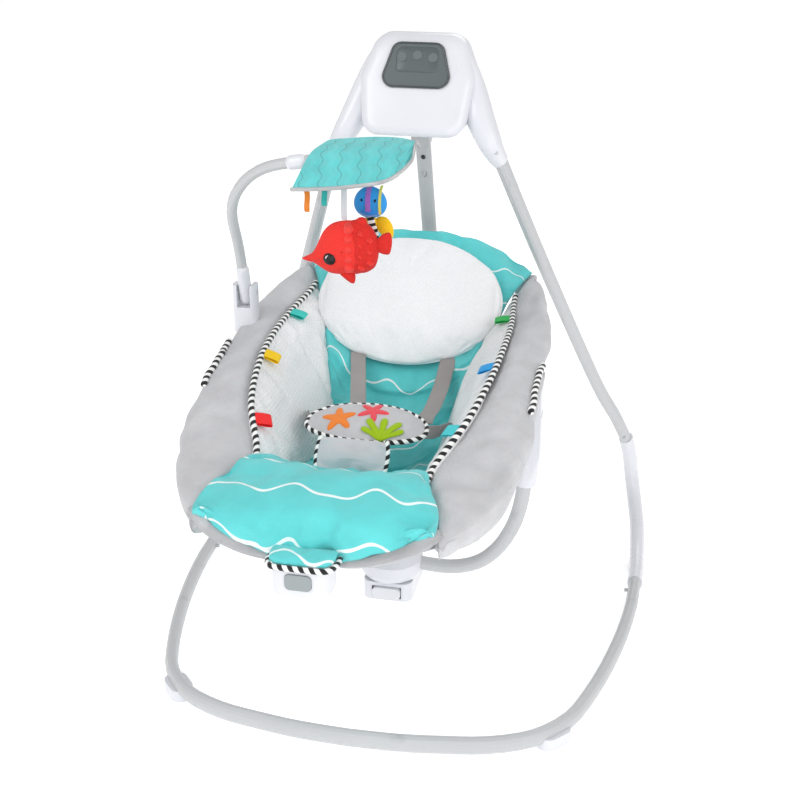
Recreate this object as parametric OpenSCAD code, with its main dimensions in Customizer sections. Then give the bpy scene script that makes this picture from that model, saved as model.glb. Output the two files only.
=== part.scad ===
// Baby swing: a tubular stand on the floor, a powered head on two legs, one arm that swings
// from the head and carries a turning hub, a hoop, and a padded reclining seat with a toy bar.
// Millimetres. +Z is up, the baby faces -Y, and the origin is on the floor under the middle.

/* [Stand] */
// Half width of the floor tube at its sides, to the tube's centre
base_half_w = 370; // [364:1:376]
// Height of the floor tube's centre above the floor
base_z = 22; // [20:1:24]
// Width of the oval floor and leg tubes
tube_w = 20; // [18:1:22]
// Height of the oval floor and leg tubes
tube_h = 27; // [24:1:28]
// Wall of the steel tubes
tube_wall = 1.5; // [1:0.5:2]

/* [Head] */
// Depth of the head housing, front to back
head_depth = 110; // [104:1:116]
// Lean of the head's control face from the vertical
head_tilt = 28; // [26:1:30]
// Wall of the moulded housings
shell_wall = 3; // [2.5:0.5:3.5]
// Height of the swing pivot above the floor
pivot_z = 800; // [798:1:802]
// Radius of the pivot shaft
shaft_r = 6; // [5:0.5:7]

/* [Swing arm] */
// Width of the flat oval swing arm
arm_w = 24; // [22:1:26]
// Thickness of the flat oval swing arm
arm_t = 12; // [10:1:13]
// Radius of the turning hub
hub_r = 48; // [46:1:50]

/* [Seat] */
// Radius of the hoop tube that carries the seat
hoop_r = 11; // [10:0.5:12]
// Radius of the steel rim inside the seat's edge
rim_r = 6; // [5:0.5:6.5]
// Thickness of the padded seat cover
pad_t = 14; // [12:1:15]
// Thickness of the plush side panels
panel_t = 11; // [9:1:11]
// Height of the recline pivots above the floor
recline_z = 470; // [468:1:472]

/* [Toy bar] */
// Radius of the toy bar tube
bar_r = 7.5; // [7:0.5:8]

/* [Hidden] */
// Radial clearance of every pin and shaft in its bore
fit = 0.05;
// Extra length that keeps cutting shapes clear of the faces they cut
over = 1;
// Facets of round holes and pins, and of the shapes inside a hull
$fn = 48;
hull_fn = 28;
head_y = 210;
head_front = head_y - head_depth / 2;
head_back = head_y + head_depth / 2;
// Where the front bush of the swing pivot starts
front_bush_y = 186;
// The two head shells meet in this plane
head_split = head_y + 22;
// Height of the foot of the sloping control face
face_z = 775;
hub_y = 26;
hub_z = 126;
arm_joint_z = 690;
toy_pivot = [-218, hub_y, 566];

// ---------------------------------------------------------------- routes
// Half of the floor tube, from the middle of the front to the rear elbow
base_half = [[0, -264], [70, -261], [130, -253], [195, -240], [255, -211], [298, -160],
    [322, -94], [342, -14], [358, 76], [base_half_w - 2, 170], [base_half_w, 262]];
leg_route = [[116, 190, 768], [127, 203, 736], [191, 277, 555], [275, 383, 325],
    [313, 420, 243], [334, 446, 188]];
elbow_route = [[332, 443, 196], [340, 453, 160], [346, 457, 118], [355, 436, 78],
    [364, 392, 48], [368, 340, 29], [base_half_w, 290, base_z + 1],
    [base_half_w, 240, base_z]];
arm_top = [0, 234, pivot_z];
arm_mid = [0, 275, arm_joint_z];
arm_route = [arm_mid, [0, 314, 587], [0, 341, 500], [0, 350, 400], [0, 334, 300],
    [0, 276, 205], [0, 190, 142], [0, 110, 112], [0, 70, 108]];
hoop_route = [[36, hub_y, 144], [90, hub_y, 142], [132, hub_y, 154], [162, hub_y, 180],
    [184, hub_y, 218], [196, hub_y, 258], [202, hub_y, 304], [205, hub_y, 330]];
bar_route = [[-218, 28, 556], [-218, 6, 636], [-210, -40, 703], [-192, -57, 742],
    [-160, -66, 770], [-114, -74, 785], [-40, -74, 795], [44, -74, 799]];

// ---------------------------------------------------------------- seat rails
// Each rail has one point at each station, from the foot end to the top of the back.
piping_rail = [[149, -414, 436], [133, -344, 449], [114, -270, 445], [146, -183, 483],
    [162, -94, 506], [167, -4, 518], [166, 86, 522], [158, 186, 530], [165, 244, 550]];
outer_rail = [[158, -409, 425], [190, -344, 435], [215, -274, 452], [228, -194, 475],
    [228, -104, 500], [229, -14, 512], [221, 76, 532], [202, 176, 545], [184, 242, 552]];
bottom_rail = [[150, -409, 400], [152, -344, 378], [160, -264, 346], [158, -184, 318],
    [148, -94, 302], [140, -4, 312], [144, 86, 372], [150, 176, 450], [162, 246, 516]];
inner_rail = [[151, -410, 408], [136, -344, 404], [120, -270, 395], [113, -187, 383],
    [109, -92, 356], [109, 2, 372], [127, 82, 434], [141, 172, 490], [157, 246, 534]];
// How far the grey side starts beyond the piping, outwards and down
crest_gap = [3, 3, 13, 14, 14, 14, 13, 11, 8];
crest_drop = [0, 0, 5, 6, 6, 6, 5, 2, -1];
// The teal seat cover: its middle and its side edge, from the third station on
centre_rail = [[0, -270, 430], [0, -194, 384], [0, -104, 338], [0, -14, 345],
    [0, 68, 403], [0, 160, 490], [0, 264, 592]];
edge_rail = [[100, -270, 436], [98, -190, 398], [92, -90, 368], [94, 8, 388],
    [112, 76, 452], [128, 161, 512], [145, 248, 566]];
// Rows of the foot rest: y, half width, top and bottom
leg_rest_rows = [[-440, 96, 424, 406], [-434, 126, 432, 403], [-414, 145, 437, 402],
    [-344, 129, 449, 408], [-300, 118, 447, 412], [-282, 108, 442, 416]];

// ---------------------------------------------------------------- helpers
function unit(v) = v / norm(v);
function flip_x(p) = [-p[0], p[1], p[2]];
function stretch(list, first, last) = [for (i = [first : last]) list[i]];
function mirrored(route) = [for (p = route) flip_x(p)];
function reversed(list) = [for (i = [len(list) - 1 : -1 : 0]) list[i]];

// One point of a Catmull-Rom curve between b and c
function between(a, b, c, d, t) =
    0.5 * (2 * b + (c - a) * t + (2 * a - 5 * b + 4 * c - d) * t * t
    + (3 * b - a - 3 * c + d) * t * t * t);

// A smooth curve through the points of a route, with n steps in each stretch
function smooth(route, n) =
    let (last = len(route) - 1)
    concat([for (i = [0 : last - 1], j = [0 : n - 1])
        between(route[max(i - 1, 0)], route[i], route[i + 1], route[min(i + 2, last)], j / n)],
        [route[last]]);

function heading(path, i) = unit(path[min(i + 1, len(path) - 1)] - path[max(i - 1, 0)]);

// An oval ring across a path, a to the side and b towards the reference direction
function ring(c, t, ref, a, b, sides) =
    let (s = unit(cross(t, ref)), n = cross(s, t))
    [for (k = [0 : sides - 1]) c + a * cos(360 * k / sides) * s + b * sin(360 * k / sides) * n];

function rings_along(path, ref, a, b, sides) =
    [for (i = [0 : len(path) - 1]) ring(path[i], heading(path, i), ref, a, b, sides)];

// Triangles across a ring of m points, m even, as strips between its two halves
function cap_faces(m) =
    [for (k = [0 : m / 2 - 2]) each [[k, k + 1, m - 2 - k], [k, m - 2 - k, m - 1 - k]]];

// A closed solid through equal rings
module loft(rings) {
    m = len(rings[0]);
    last = len(rings) - 1;
    sides = [for (i = [0 : last - 1], k = [0 : m - 1])
        let (a = i * m + k, b = i * m + (k + 1) % m) each [[a, b, b + m], [a, b + m, a + m]]];
    start = [for (f = cap_faces(m)) [f[2], f[1], f[0]]];
    end = [for (f = cap_faces(m)) [for (v = f) last * m + v]];
    polyhedron(points = [for (r = rings) each r], faces = concat(sides, start, end), convexity = 8);
}

module rod_along(path, ref, a, b, sides = 16) {
    loft(rings_along(path, ref, a, b, sides));
}

// A hollow tube: the bore runs a little past both ends
module pipe_along(path, ref, a, b, wall, sides = 16) {
    last = len(path) - 1;
    bore = concat([path[0] - over * heading(path, 0)], [for (i = [1 : last - 1]) path[i]],
        [path[last] + over * heading(path, last)]);
    difference() {
        rod_along(path, ref, a, b, sides);
        rod_along(bore, ref, a - wall, b - wall, sides);
    }
}

// A box with round upright edges
module soft_box(size, r) {
    linear_extrude(height = size[2])
        for_corners(size, r);
}

module for_corners(size, r) {
    hull()
        for (x = [r, size[0] - r], y = [r, size[1] - r])
            translate([x, y]) circle(r = r, $fn = hull_fn);
}

module rod_x(r, x0, x1) {
    translate([x0, 0, 0]) rotate([0, 90, 0]) cylinder(r = r, h = x1 - x0);
}

module rod_y(r, y0, y1) {
    translate([0, y0, 0]) rotate([-90, 0, 0]) cylinder(r = r, h = y1 - y0);
}

module both_sides() {
    children();
    mirror([1, 0, 0]) children();
}

// ---------------------------------------------------------------- stand
function base_path() =
    let (half = smooth([for (p = base_half) [p[0], p[1], base_z]], 3))
    concat(reversed(mirrored(half)), [for (i = [1 : len(half) - 1]) half[i]]);

module base_tube() {
    color("#cfd2d2")
        pipe_along(base_path(), [0, 0, 1], tube_w / 2, tube_h / 2, tube_wall, 14);
}

// A clip foot under the front corner of the floor tube
module front_foot(side) {
    color("#f4f5f6")
        difference() {
            translate([side * 279, -186, 2])
                rotate([0, 0, side * 48])
                    translate([-27, -17, 0])
                        soft_box([54, 34, 18], 16);
            rod_along(side > 0 ? stretch(base_path(), 40, 48) : stretch(base_path(), 12, 20),
                [0, 0, 1], tube_w / 2, tube_h / 2, 14);
        }
}

module front_foot_left() { front_foot(-1); }
module front_foot_right() { front_foot(1); }

module rubber_pads() {
    color("#3a3d40")
        both_sides() {
            translate([279, -186, 0]) cylinder(r = 13, h = 2);
            translate([368, 330, 0]) cylinder(r = 11, h = 15);
        }
}

// The moulded sleeve that joins a leg to the floor tube and is the rear foot
module rear_elbow() {
    color("#f4f5f6")
        difference() {
            rod_along(smooth(elbow_route, 4), [1, 0, 0.1], tube_h / 2 + 1.5, tube_w / 2 + 2.5, 16);
            rod_along(stretch(leg_path(), 18, 25), [1, 0, 0.1], tube_h / 2, tube_w / 2, 16);
            rod_along(stretch(base_path(), 55, 60), [0, 0, 1], tube_w / 2, tube_h / 2, 14);
            translate([368, 330, 0]) cylinder(r = 11, h = 15);
        }
}

module rear_elbow_left() { mirror([1, 0, 0]) rear_elbow(); }
module rear_elbow_right() { rear_elbow(); }

function leg_path() = smooth(leg_route, 5);

module leg_tube() {
    color("#cfd2d2")
        pipe_along(leg_path(), [1, 0, 0.1], tube_h / 2, tube_w / 2, tube_wall, 14);
}

module leg_tube_left() { mirror([1, 0, 0]) leg_tube(); }
module leg_tube_right() { leg_tube(); }

// Sprung snap buttons that lock the tubes together
module snap_buttons() {
    color("#7d8183")
        both_sides() {
            translate([base_half_w - 16, 215, base_z]) rod_x(3, 0, 6.5);
            translate([328, 423, 205]) rotate([0, 0, -20]) rod_y(3, 0, 6);
        }
}

// The fin that runs from the head's shoulder down over the end of the leg
module leg_cover() {
    color("#f7f8f9")
        difference() {
            hull() {
                translate([58, 226, 878]) rod_y(22, 0, 26);
                translate([86, 200, 824]) rod_y(20, 0, 42);
                rod_along(stretch(leg_path(), 3, 5), [1, 0, 0.1], tube_h / 2 + 2, tube_w / 2 + 2, 14);
            }
            rod_along(stretch(leg_path(), 0, 8), [1, 0, 0.1], tube_h / 2, tube_w / 2, 14);
            head_solid(-0.2);
        }
}

module leg_cover_left() { mirror([1, 0, 0]) leg_cover(); }
module leg_cover_right() { leg_cover(); }

module cover_screws() {
    color("#9a9ea0")
        both_sides()
            translate([123, 183, 752]) rotate([-22, -17, 0]) rod_y(3.5, -4, 2);
}

// ---------------------------------------------------------------- head
// The front outline of the head, moved inwards by an inset
module head_outline(inset) {
    hull()
        for (side = [-1, 1], c = [[51, 801, 28], [57, 850, 28], [43, 880, 31]])
            translate([side * c[0], c[1]]) circle(r = c[2] - inset, $fn = hull_fn);
}

// Puts children on the control face: X across, Y into the head, Z up the slope
module on_face() {
    translate([0, head_front, face_z]) rotate([-head_tilt, 0, 0]) children();
}

// A block of the head between two planes across Y, behind the sloping face
module head_slice(y0, y1, inset) {
    intersection() {
        translate([0, y1, 0])
            rotate([90, 0, 0])
                linear_extrude(height = y1 - y0) head_outline(inset);
        on_face() translate([-160, inset, -90]) cube([320, 240, 300]);
    }
}

module head_solid(inset) {
    head_slice(head_front + inset, head_back - inset, inset);
}

// The slot in the floor of the head that the arm swings in
module arm_slot() {
    translate([-26, 222, 760]) cube([52, 46, 30]);
}

module head_front_shell() {
    color("#f7f8f9")
        difference() {
            head_slice(head_front, head_split, 0);
            head_slice(head_front + shell_wall, head_split + over, shell_wall);
            on_face() panel_frame(0.2, -over, shell_wall + over);
            arm_slot();
        }
    color("#f7f8f9")
        difference() {
            intersection() {
                translate([0, 0, pivot_z]) rod_y(13, head_front, front_bush_y + 14);
                head_solid(shell_wall - 1);
            }
            translate([0, 0, pivot_z]) rod_y(10, front_bush_y, front_bush_y + 20);
        }
}

module head_rear_shell() {
    color("#f7f8f9")
        difference() {
            union() {
                difference() {
                    head_slice(head_split, head_back, 0);
                    head_slice(head_split - over, head_back - shell_wall, shell_wall);
                    arm_slot();
                    battery_opening(0.4);
                }
                translate([0, head_back - 15, pivot_z]) rod_y(13, 0, 12);
            }
            translate([0, head_back - 16, pivot_z]) rod_y(10, 0, 11);
        }
}

module panel_outline(grow) {
    hull() {
        for (x = [-33, 33])
            translate([x, 90]) circle(r = 16 + grow, $fn = hull_fn);
        for (x = [-25, 25])
            translate([x, 126]) circle(r = 14 + grow, $fn = hull_fn);
    }
}

module panel_frame(grow, y0, y1) {
    translate([0, y1, 0]) rotate([90, 0, 0]) linear_extrude(height = y1 - y0) panel_outline(grow);
}

// Places of the three push buttons on the panel, across and up the slope
button_places = [[-23, 118], [0, 121], [23, 118]];
button_r = 7;

module control_panel() {
    color("#5a6264")
        on_face() difference() {
            panel_frame(0, -3, shell_wall + 2);
            for (p = button_places)
                translate([p[0], 0, p[1]]) rod_y(button_r + 0.3, -10, 20);
        }
}

// A push button whose face stands 2 mm proud of the panel
module panel_button(place) {
    color("#8b9496")
        on_face() translate([place[0], 0, place[1]]) rod_y(button_r, -5, 6);
}

module power_button() { panel_button(button_places[0]); }
module speed_button() { panel_button(button_places[1]); }
module sound_button() { panel_button(button_places[2]); }

module battery_opening(grow) {
    translate([-58 - grow, head_back - shell_wall - over, 846 - grow])
        cube([116 + 2 * grow, shell_wall + 2 * over, 48 + 2 * grow]);
}

module battery_door() {
    color("#eceef0")
        translate([-58, head_back - shell_wall, 846]) cube([116, shell_wall + 1, 48]);
}

// Four cells that lie side by side behind the door
module battery_cells() {
    color("#b8bcc0")
        for (i = [0 : 3])
            translate([-39 + 26 * i, head_back - 20, 848]) cylinder(r = 12.5, h = 44);
}

module circuit_board() {
    color("#2f7d4f")
        on_face() translate([-50, 16, 62]) cube([100, 2, 56]);
}

module speaker() {
    color("#2c2f31")
        translate([52, 0, 800])
            difference() {
                rod_y(17, head_front + 30, head_front + 46);
                rod_y(11, head_front + 28, head_front + 34);
            }
}

// The coil that pushes the swinging magnet, wound round an open core
module drive_coil() {
    color("#b87333")
        translate([-58, 0, 800])
            difference() {
                rod_y(15, 214, 234);
                rod_y(8, 212, 236);
            }
}

module pivot_bushes() {
    color("#6b6f72")
        for (y = [front_bush_y, head_back - 15])
            translate([0, 0, pivot_z])
                difference() {
                    rod_y(10, y, y + 10);
                    rod_y(shaft_r + fit, y - over, y + 10 + over);
                }
}

// ---------------------------------------------------------------- swing arm
module pivot_shaft() {
    color("#a9adb0")
        translate([0, 0, pivot_z]) rod_y(shaft_r, front_bush_y + 1, head_back - 6);
}

module arm_hub() {
    color("#dfe2e3")
        difference() {
            union() {
                translate([0, 0, pivot_z]) rod_y(19, 225, 243);
                translate([-14, 246, 748]) rotate([20.7, 0, 0]) translate([0, -10, 0])
                    cube([28, 20, 46]);
            }
            translate([0, 0, pivot_z]) rod_y(shaft_r, 220, 250);
            arm_stub();
        }
}

// The straight top of the arm, from inside the hub's socket to the joint
module arm_stub() {
    rod_along([for (t = [0 : 0.25 : 1]) [0, 244, 772] * (1 - t) + arm_mid * t],
        [0, 1, 0], arm_w / 2, arm_t / 2, 16);
}

module arm_upper() {
    color("#cfd2d2") arm_stub();
}

module arm_lower() {
    color("#cfd2d2")
        difference() {
            rod_along(smooth(arm_route, 4), [0, 1, 0.3], arm_w / 2, arm_t / 2, 16);
            hub_base_block(0.1);
        }
}

module arm_bolt() {
    color("#8f9496")
        translate([0, 265, 695]) rotate([-22, 0, 0]) rod_y(4, -2, 5);
}

module drive_magnet() {
    color("#3b3f42")
        translate([-40, 231, 794]) cube([23, 8, 12]);
}

module hub_base_block(grow) {
    translate([-38 - grow, -14 - grow, 94 - grow])
        soft_box([76 + 2 * grow, 110 + 2 * grow, 30 + 2 * grow], 14);
}

module hub_base() {
    color("#f4f5f6")
        difference() {
            hub_base_block(0);
            translate([0, hub_y, 90]) cylinder(r = 9, h = 60);
            translate([-23, -15, 98]) cube([46, 14, 20]);
        }
}

module swivel_pin() {
    color("#9a9ea0")
        translate([0, hub_y, 96]) cylinder(r = 9, h = 62);
}

module hub_button() {
    color("#e3e6e8")
        translate([22, -19, 108])
            rotate([90, 0, 180])
                translate([0, -9, 0]) soft_box([44, 18, 14], 7);
}

// ---------------------------------------------------------------- hub, hoop, brackets
module turntable() {
    color("#f4f5f6")
        translate([0, hub_y, 0])
            difference() {
                rotate_extrude($fn = 72)
                    difference() {
                        hull() {
                            translate([0, hub_z]) square([hub_r - 4, 2]);
                            translate([0, hub_z + 8]) square([hub_r, 18]);
                            translate([0, hub_z + 32]) square([hub_r - 12, 6]);
                        }
                        translate([-1, hub_z - 1]) square([9 + fit + 1, 34]);
                    }
                translate([0, -hub_y, 0])
                    both_sides() rod_along(stretch(hoop_path(), 0, 5), [0, 1, 0], hoop_r, hoop_r);
            }
}

function hoop_path() = smooth(hoop_route, 4);

module hoop_tube() {
    color("#cfd2d2") pipe_along(hoop_path(), [0, 1, 0], hoop_r, hoop_r, tube_wall, 16);
}

module hoop_left() { mirror([1, 0, 0]) hoop_tube(); }
module hoop_right() { hoop_tube(); }

// The white side bracket: a socket for the hoop below and a flat ear with the pivot above
module bracket_shape() {
    difference() {
        union() {
            hull() {
                translate([203, hub_y, 296]) cylinder(r = 15, h = 4, $fn = hull_fn);
                translate([209, hub_y - 15, 350]) cube([14, 30, 60]);
            }
            hull() {
                translate([210, hub_y - 15, 400]) cube([12, 30, 4]);
                translate([210, hub_y, recline_z]) rod_x(16, 0, 12);
            }
        }
        rod_along(stretch(hoop_path(), 22, 28), [0, 1, 0], hoop_r, hoop_r);
        translate([0, hub_y, recline_z]) rod_x(6, 200, 240);
    }
}

module bracket_right() { color("#f4f5f6") bracket_shape(); }
module bracket_left() { color("#f4f5f6") mirror([1, 0, 0]) bracket_shape(); }

module recline_pins() {
    color("#9a9ea0")
        both_sides()
            translate([0, hub_y, recline_z]) rod_x(6, 193, 224);
}

// ---------------------------------------------------------------- seat structure
// The steel rim in the seat's edge, round the whole seat
function rim_half() = concat([[0, -426, 417], [80, -424, 417], [138, -405, 420]],
    [for (i = [1 : 7]) outer_rail[i] + [-10, 0, -10]],
    [[166, 252, 532], [110, 274, 552], [0, 284, 570]]);

function rim_path() =
    let (half = smooth(rim_half(), 3))
    concat(half, [for (i = [len(half) - 2 : -1 : 1]) flip_x(half[i])]);

module seat_rim() {
    path = rim_path();
    n = len(path);
    m = 10;
    rings = [for (i = [0 : n - 1])
        ring(path[i], unit(path[(i + 1) % n] - path[(i + n - 1) % n]), [0, 0, 1], rim_r, rim_r, m)];
    faces = [for (i = [0 : n - 1], k = [0 : m - 1])
        let (a = i * m + k, b = i * m + (k + 1) % m, c = ((i + 1) % n) * m + (k + 1) % m,
            d = ((i + 1) % n) * m + k) each [[a, b, c], [a, c, d]]];
    color("#b5b9bb") {
        polyhedron(points = [for (r = rings) each r], faces = faces, convexity = 8);
        both_sides() seat_lug();
    }
}

// The lug that hangs from the rim and turns on the recline pin
module seat_lug() {
    difference() {
        hull() {
            translate([0, hub_y, recline_z]) rod_x(13, 195, 205);
            translate([195, hub_y - 12, 504]) cube([18, 24, 8]);
        }
        translate([0, hub_y, recline_z]) rod_x(6 + fit, 190, 210);
    }
}

// Downward and backward normal of the seat's middle line at a station
function back_dir(k) =
    let (t = unit(centre_rail[min(k + 1, 6)] - centre_rail[max(k - 1, 0)]))
    [0, t[2], -t[1]];

function seat_row(k, depth) =
    let (d = back_dir(k) * depth, e = edge_rail[k], c = centre_rail[k],
        h = [e[0] * 0.55, c[1] * 0.7 + e[1] * 0.3, c[2] * 0.72 + e[2] * 0.28])
    [flip_x(e) + d, flip_x(h) + d, c + d, h + d, e + d];

// A layer of the seat between two depths below its surface
module seat_layer(top, bottom) {
    upper = smooth([for (k = [0 : 6]) seat_row(k, top)], 2);
    lower = smooth([for (k = [0 : 6]) seat_row(k, bottom)], 2);
    loft([for (k = [0 : len(upper) - 1]) concat(lower[k], reversed(upper[k]))]);
}

module seat_board() { color("#8f959a") seat_layer(pad_t + 7, pad_t + 11); }
module seat_pad() { color("#5ccccb") seat_layer(0, pad_t); }

// Outward normal of the plush side at a station
function side_dir(k) =
    let (a = edge_rail[k], b = piping_rail[k + 2],
        t = unit(edge_rail[min(k + 1, 6)] - edge_rail[max(k - 1, 0)]))
    unit(cross(t, b - a));

function side_row(k) =
    let (a = edge_rail[k], b = piping_rail[k + 2], d = side_dir(k) * panel_t,
        low = a + (b - a) * (k == 0 ? 0.3 : k == 6 ? 0.4 : 0.12))
    [low + d, b + d, b, low];

module side_panel() {
    color("#f0f0f3")
        loft(smooth([for (k = [0 : 6]) side_row(k)], 2));
}

module side_panel_right() { side_panel(); }
module side_panel_left() { mirror([1, 0, 0]) side_panel(); }

function bolster_row(k) =
    let (p = piping_rail[k] + [crest_gap[k], 0, -crest_drop[k]], o = outer_rail[k],
        b = bottom_rail[k], top = (p + o) / 2 + [0, 0, min(10, norm(o - p) / 5)],
        swell = (o + b) / 2 + [min(10, norm(o - b) / 12), 0, 0])
    [inner_rail[k], b, swell, o, top, p];

// The grey padded side, with a pocket round the recline pivot and its bracket
module bolster_shape() {
    difference() {
        loft(smooth([for (k = [0 : 8]) bolster_row(k)], 2));
        translate([190, hub_y - 40, 424]) cube([80, 80, 66]);
        translate([197, hub_y - 46, 280]) cube([80, 92, 145]);
    }
}

module bolster_right() { color("#c9c9cc") bolster_shape(); }

module bolster_left() {
    color("#c9c9cc")
        difference() {
            mirror([1, 0, 0]) bolster_shape();
            translate([-250, hub_y - 17, 500]) cube([52, 34, 100]);
        }
}

function flat_row(r) =
    [[-r[1], r[0], r[3]], [-r[1] * 0.6, r[0], r[3] - 1], [r[1] * 0.6, r[0], r[3] - 1],
    [r[1], r[0], r[3]], [r[1], r[0], r[2] - 3], [r[1] * 0.6, r[0], r[2]],
    [-r[1] * 0.6, r[0], r[2]], [-r[1], r[0], r[2] - 3]];

module leg_rest() {
    color("#5ccccb")
        loft([for (r = leg_rest_rows) flat_row(r)]);
}

// The round head pillow lies on the upper half of the seat's back
module head_pillow() {
    color("#fbfbfc")
        translate([0, 150, 519])
            rotate([47, 0, 0])
                scale([1.33, 1, 1])
                    rotate_extrude($fn = 96)
                        polygon([[0, 0], [82, 0], [96, 6], [102, 14], [97, 23], [82, 29], [0, 32]]);
}

module harness_pad() {
    color("#c9c9cc")
        translate([0, -132, 441])
            rotate([16, 0, 0])
                hull() {
                    for (x = [-50, 50])
                        translate([x, 0, -7]) cylinder(r = 28, h = 13, $fn = hull_fn);
                    translate([0, 6, -7]) cylinder(r = 36, h = 14, $fn = hull_fn);
                }
}

module crotch_pad() {
    color("#d4d5d8")
        translate([0, -214, 408])
            rotate([-35, 0, 0])
                translate([-44, -8, 0])
                    soft_box([88, 16, 44], 7);
}

function strap_ring(c, t, w, h) =
    let (s = unit(cross(t, [0, 0, 1])), n = cross(s, t))
    [c + w * s - h * n, c + w * s + h * n, c - w * s + h * n, c - w * s - h * n];

module strap(path) {
    loft([for (i = [0 : len(path) - 1]) strap_ring(path[i], heading(path, i), 12, 1)]);
}

// Shoulder straps from the back to the harness pad, and the two waist straps
module harness_straps() {
    color("#a5a09e")
        both_sides() {
            strap(smooth([[60, -88, 444], [62, -30, 432], [64, 30, 432], [64, 88, 452]], 3));
            strap(smooth([[84, -126, 430], [92, -100, 424], [100, -64, 420]], 3));
        }
}

module buckle() {
    color("#f0f1f3")
        translate([-22, -146, 410]) rotate([16, 0, 0]) soft_box([44, 34, 12], 8);
}

// The vibration unit: its front stands up before the foot rest, and its back lies under it
module vibration_housing() {
    color("#f4f5f6")
        difference() {
            translate([-35, -474, 375]) soft_box([70, 54, 38], 16);
            translate([-50, -442, 401]) cube([100, 60, 30]);
            translate([-32, -471, 378]) soft_box([64, 48, 20], 13);
            translate([0, 3, 0]) vibration_button_shape(0.3, 26);
        }
}

module vibration_button_shape(grow, depth) {
    translate([0, -463 + grow, 394]) rotate([90, 0, 0]) linear_extrude(height = depth)
        translate([-16 - grow, -10 - grow]) for_corners([32 + 2 * grow, 20 + 2 * grow], 6);
}

module vibration_motor() {
    color("#8f9496")
        translate([0, -438, 388]) rod_x(9, -22, 22);
}

module vibration_button() {
    color("#8d9294") vibration_button_shape(0, 13);
}

// ---------------------------------------------------------------- toy bar
module toy_socket() {
    color("#f4f5f6")
        difference() {
            translate([-236, hub_y - 13, 506]) soft_box([36, 26, 72], 9);
            translate([-228, hub_y - 14, 545]) cube([20, 28, 40]);
            translate([0, hub_y, toy_pivot[2]]) rod_x(4 + fit, -240, -190);
            mirror([1, 0, 0])
                rod_along(stretch(rim_path(), 19, 26), [0, 0, 1], rim_r, rim_r, 10);
        }
}

function bar_path() = smooth(bar_route, 4);

module toy_bar() {
    color("#cfd2d2") {
        rod_along(bar_path(), [0.2, 0.6, 1], bar_r, bar_r, 12);
        translate([0, hub_y, toy_pivot[2]]) rod_x(4, -235, -201);
    }
}

// The sun canopy, with the sleeve that the bar runs through
module canopy() {
    color("#5ccccb")
        difference() {
            loft(smooth([for (x = [-104, -60, -10, 40, 68])
                canopy_row(x, 6 * (1 - pow((x + 18) / 86, 2)))], 2));
            rod_along(bar_path(), [0.2, 0.6, 1], bar_r + 0.3, bar_r + 0.3, 12);
        }
}

function canopy_row(x, arch) =
    [[x, -144, 774 + arch], [x, -100, 790 + arch], [x, -50, 803 + arch], [x, -4, 806 + arch],
    [x, -4, 818 + arch], [x, -50, 818 + arch], [x, -100, 806 + arch], [x, -144, 788 + arch]];

module fish_toy() {
    color("#e8403f")
        translate([-28, -126, 682]) scale([1, 0.42, 1]) sphere(r = 36);
}

module bubble_toy() {
    color("#2d8cd2")
        translate([-6, -72, 737]) scale([1, 0.7, 1]) sphere(r = 22);
}

base_tube();
front_foot_left();
front_foot_right();
rubber_pads();
rear_elbow_left();
rear_elbow_right();
leg_tube_left();
leg_tube_right();
snap_buttons();
leg_cover_left();
leg_cover_right();
cover_screws();
head_front_shell();
head_rear_shell();
control_panel();
battery_door();
battery_cells();
circuit_board();
speaker();
drive_coil();
pivot_bushes();
power_button();
speed_button();
sound_button();
pivot_shaft();
arm_hub();
arm_upper();
arm_lower();
arm_bolt();
drive_magnet();
hub_base();
swivel_pin();
hub_button();
turntable();
hoop_left();
hoop_right();
bracket_left();
bracket_right();
recline_pins();
seat_rim();
seat_board();
seat_pad();
side_panel_left();
side_panel_right();
bolster_left();
bolster_right();
leg_rest();
head_pillow();
harness_pad();
crotch_pad();
harness_straps();
buckle();
vibration_housing();
vibration_motor();
vibration_button();
toy_socket();
toy_bar();
canopy();
fish_toy();
bubble_toy();
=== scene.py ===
"""Baby swing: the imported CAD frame, dressed with its soft goods, finishes and toys.

Lengths are metres in Blender. Routes and rails that part.scad also uses are written in
millimetres, as they are there, and mm() turns them into metres.
"""
import math

import bpy
import numpy as np
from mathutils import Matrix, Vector, noise
from mathutils.bvhtree import BVHTree
from mathutils.kdtree import KDTree


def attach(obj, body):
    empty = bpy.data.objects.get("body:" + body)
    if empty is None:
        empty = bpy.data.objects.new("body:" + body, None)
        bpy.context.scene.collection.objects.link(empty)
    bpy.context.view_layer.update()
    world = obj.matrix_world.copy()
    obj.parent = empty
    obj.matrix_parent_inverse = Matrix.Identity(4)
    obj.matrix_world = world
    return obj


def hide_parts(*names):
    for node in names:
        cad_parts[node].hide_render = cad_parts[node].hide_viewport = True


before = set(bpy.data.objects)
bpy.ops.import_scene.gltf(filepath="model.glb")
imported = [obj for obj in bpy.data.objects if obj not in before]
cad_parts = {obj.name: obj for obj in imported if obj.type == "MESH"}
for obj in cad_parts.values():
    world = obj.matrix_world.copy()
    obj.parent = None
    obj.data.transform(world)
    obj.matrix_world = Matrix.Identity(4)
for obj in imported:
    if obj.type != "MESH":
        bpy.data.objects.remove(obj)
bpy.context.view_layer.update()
TURN = 2 * math.pi

# ---------------------------------------- camera, stage and light
CAMERA_AT = (0.397, -1.767, 1.2)
CAMERA_AIM = (-0.1926, 0.8988, -0.394)
CAMERA_LENS, SENSOR_WIDTH = 60.93, 36
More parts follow.
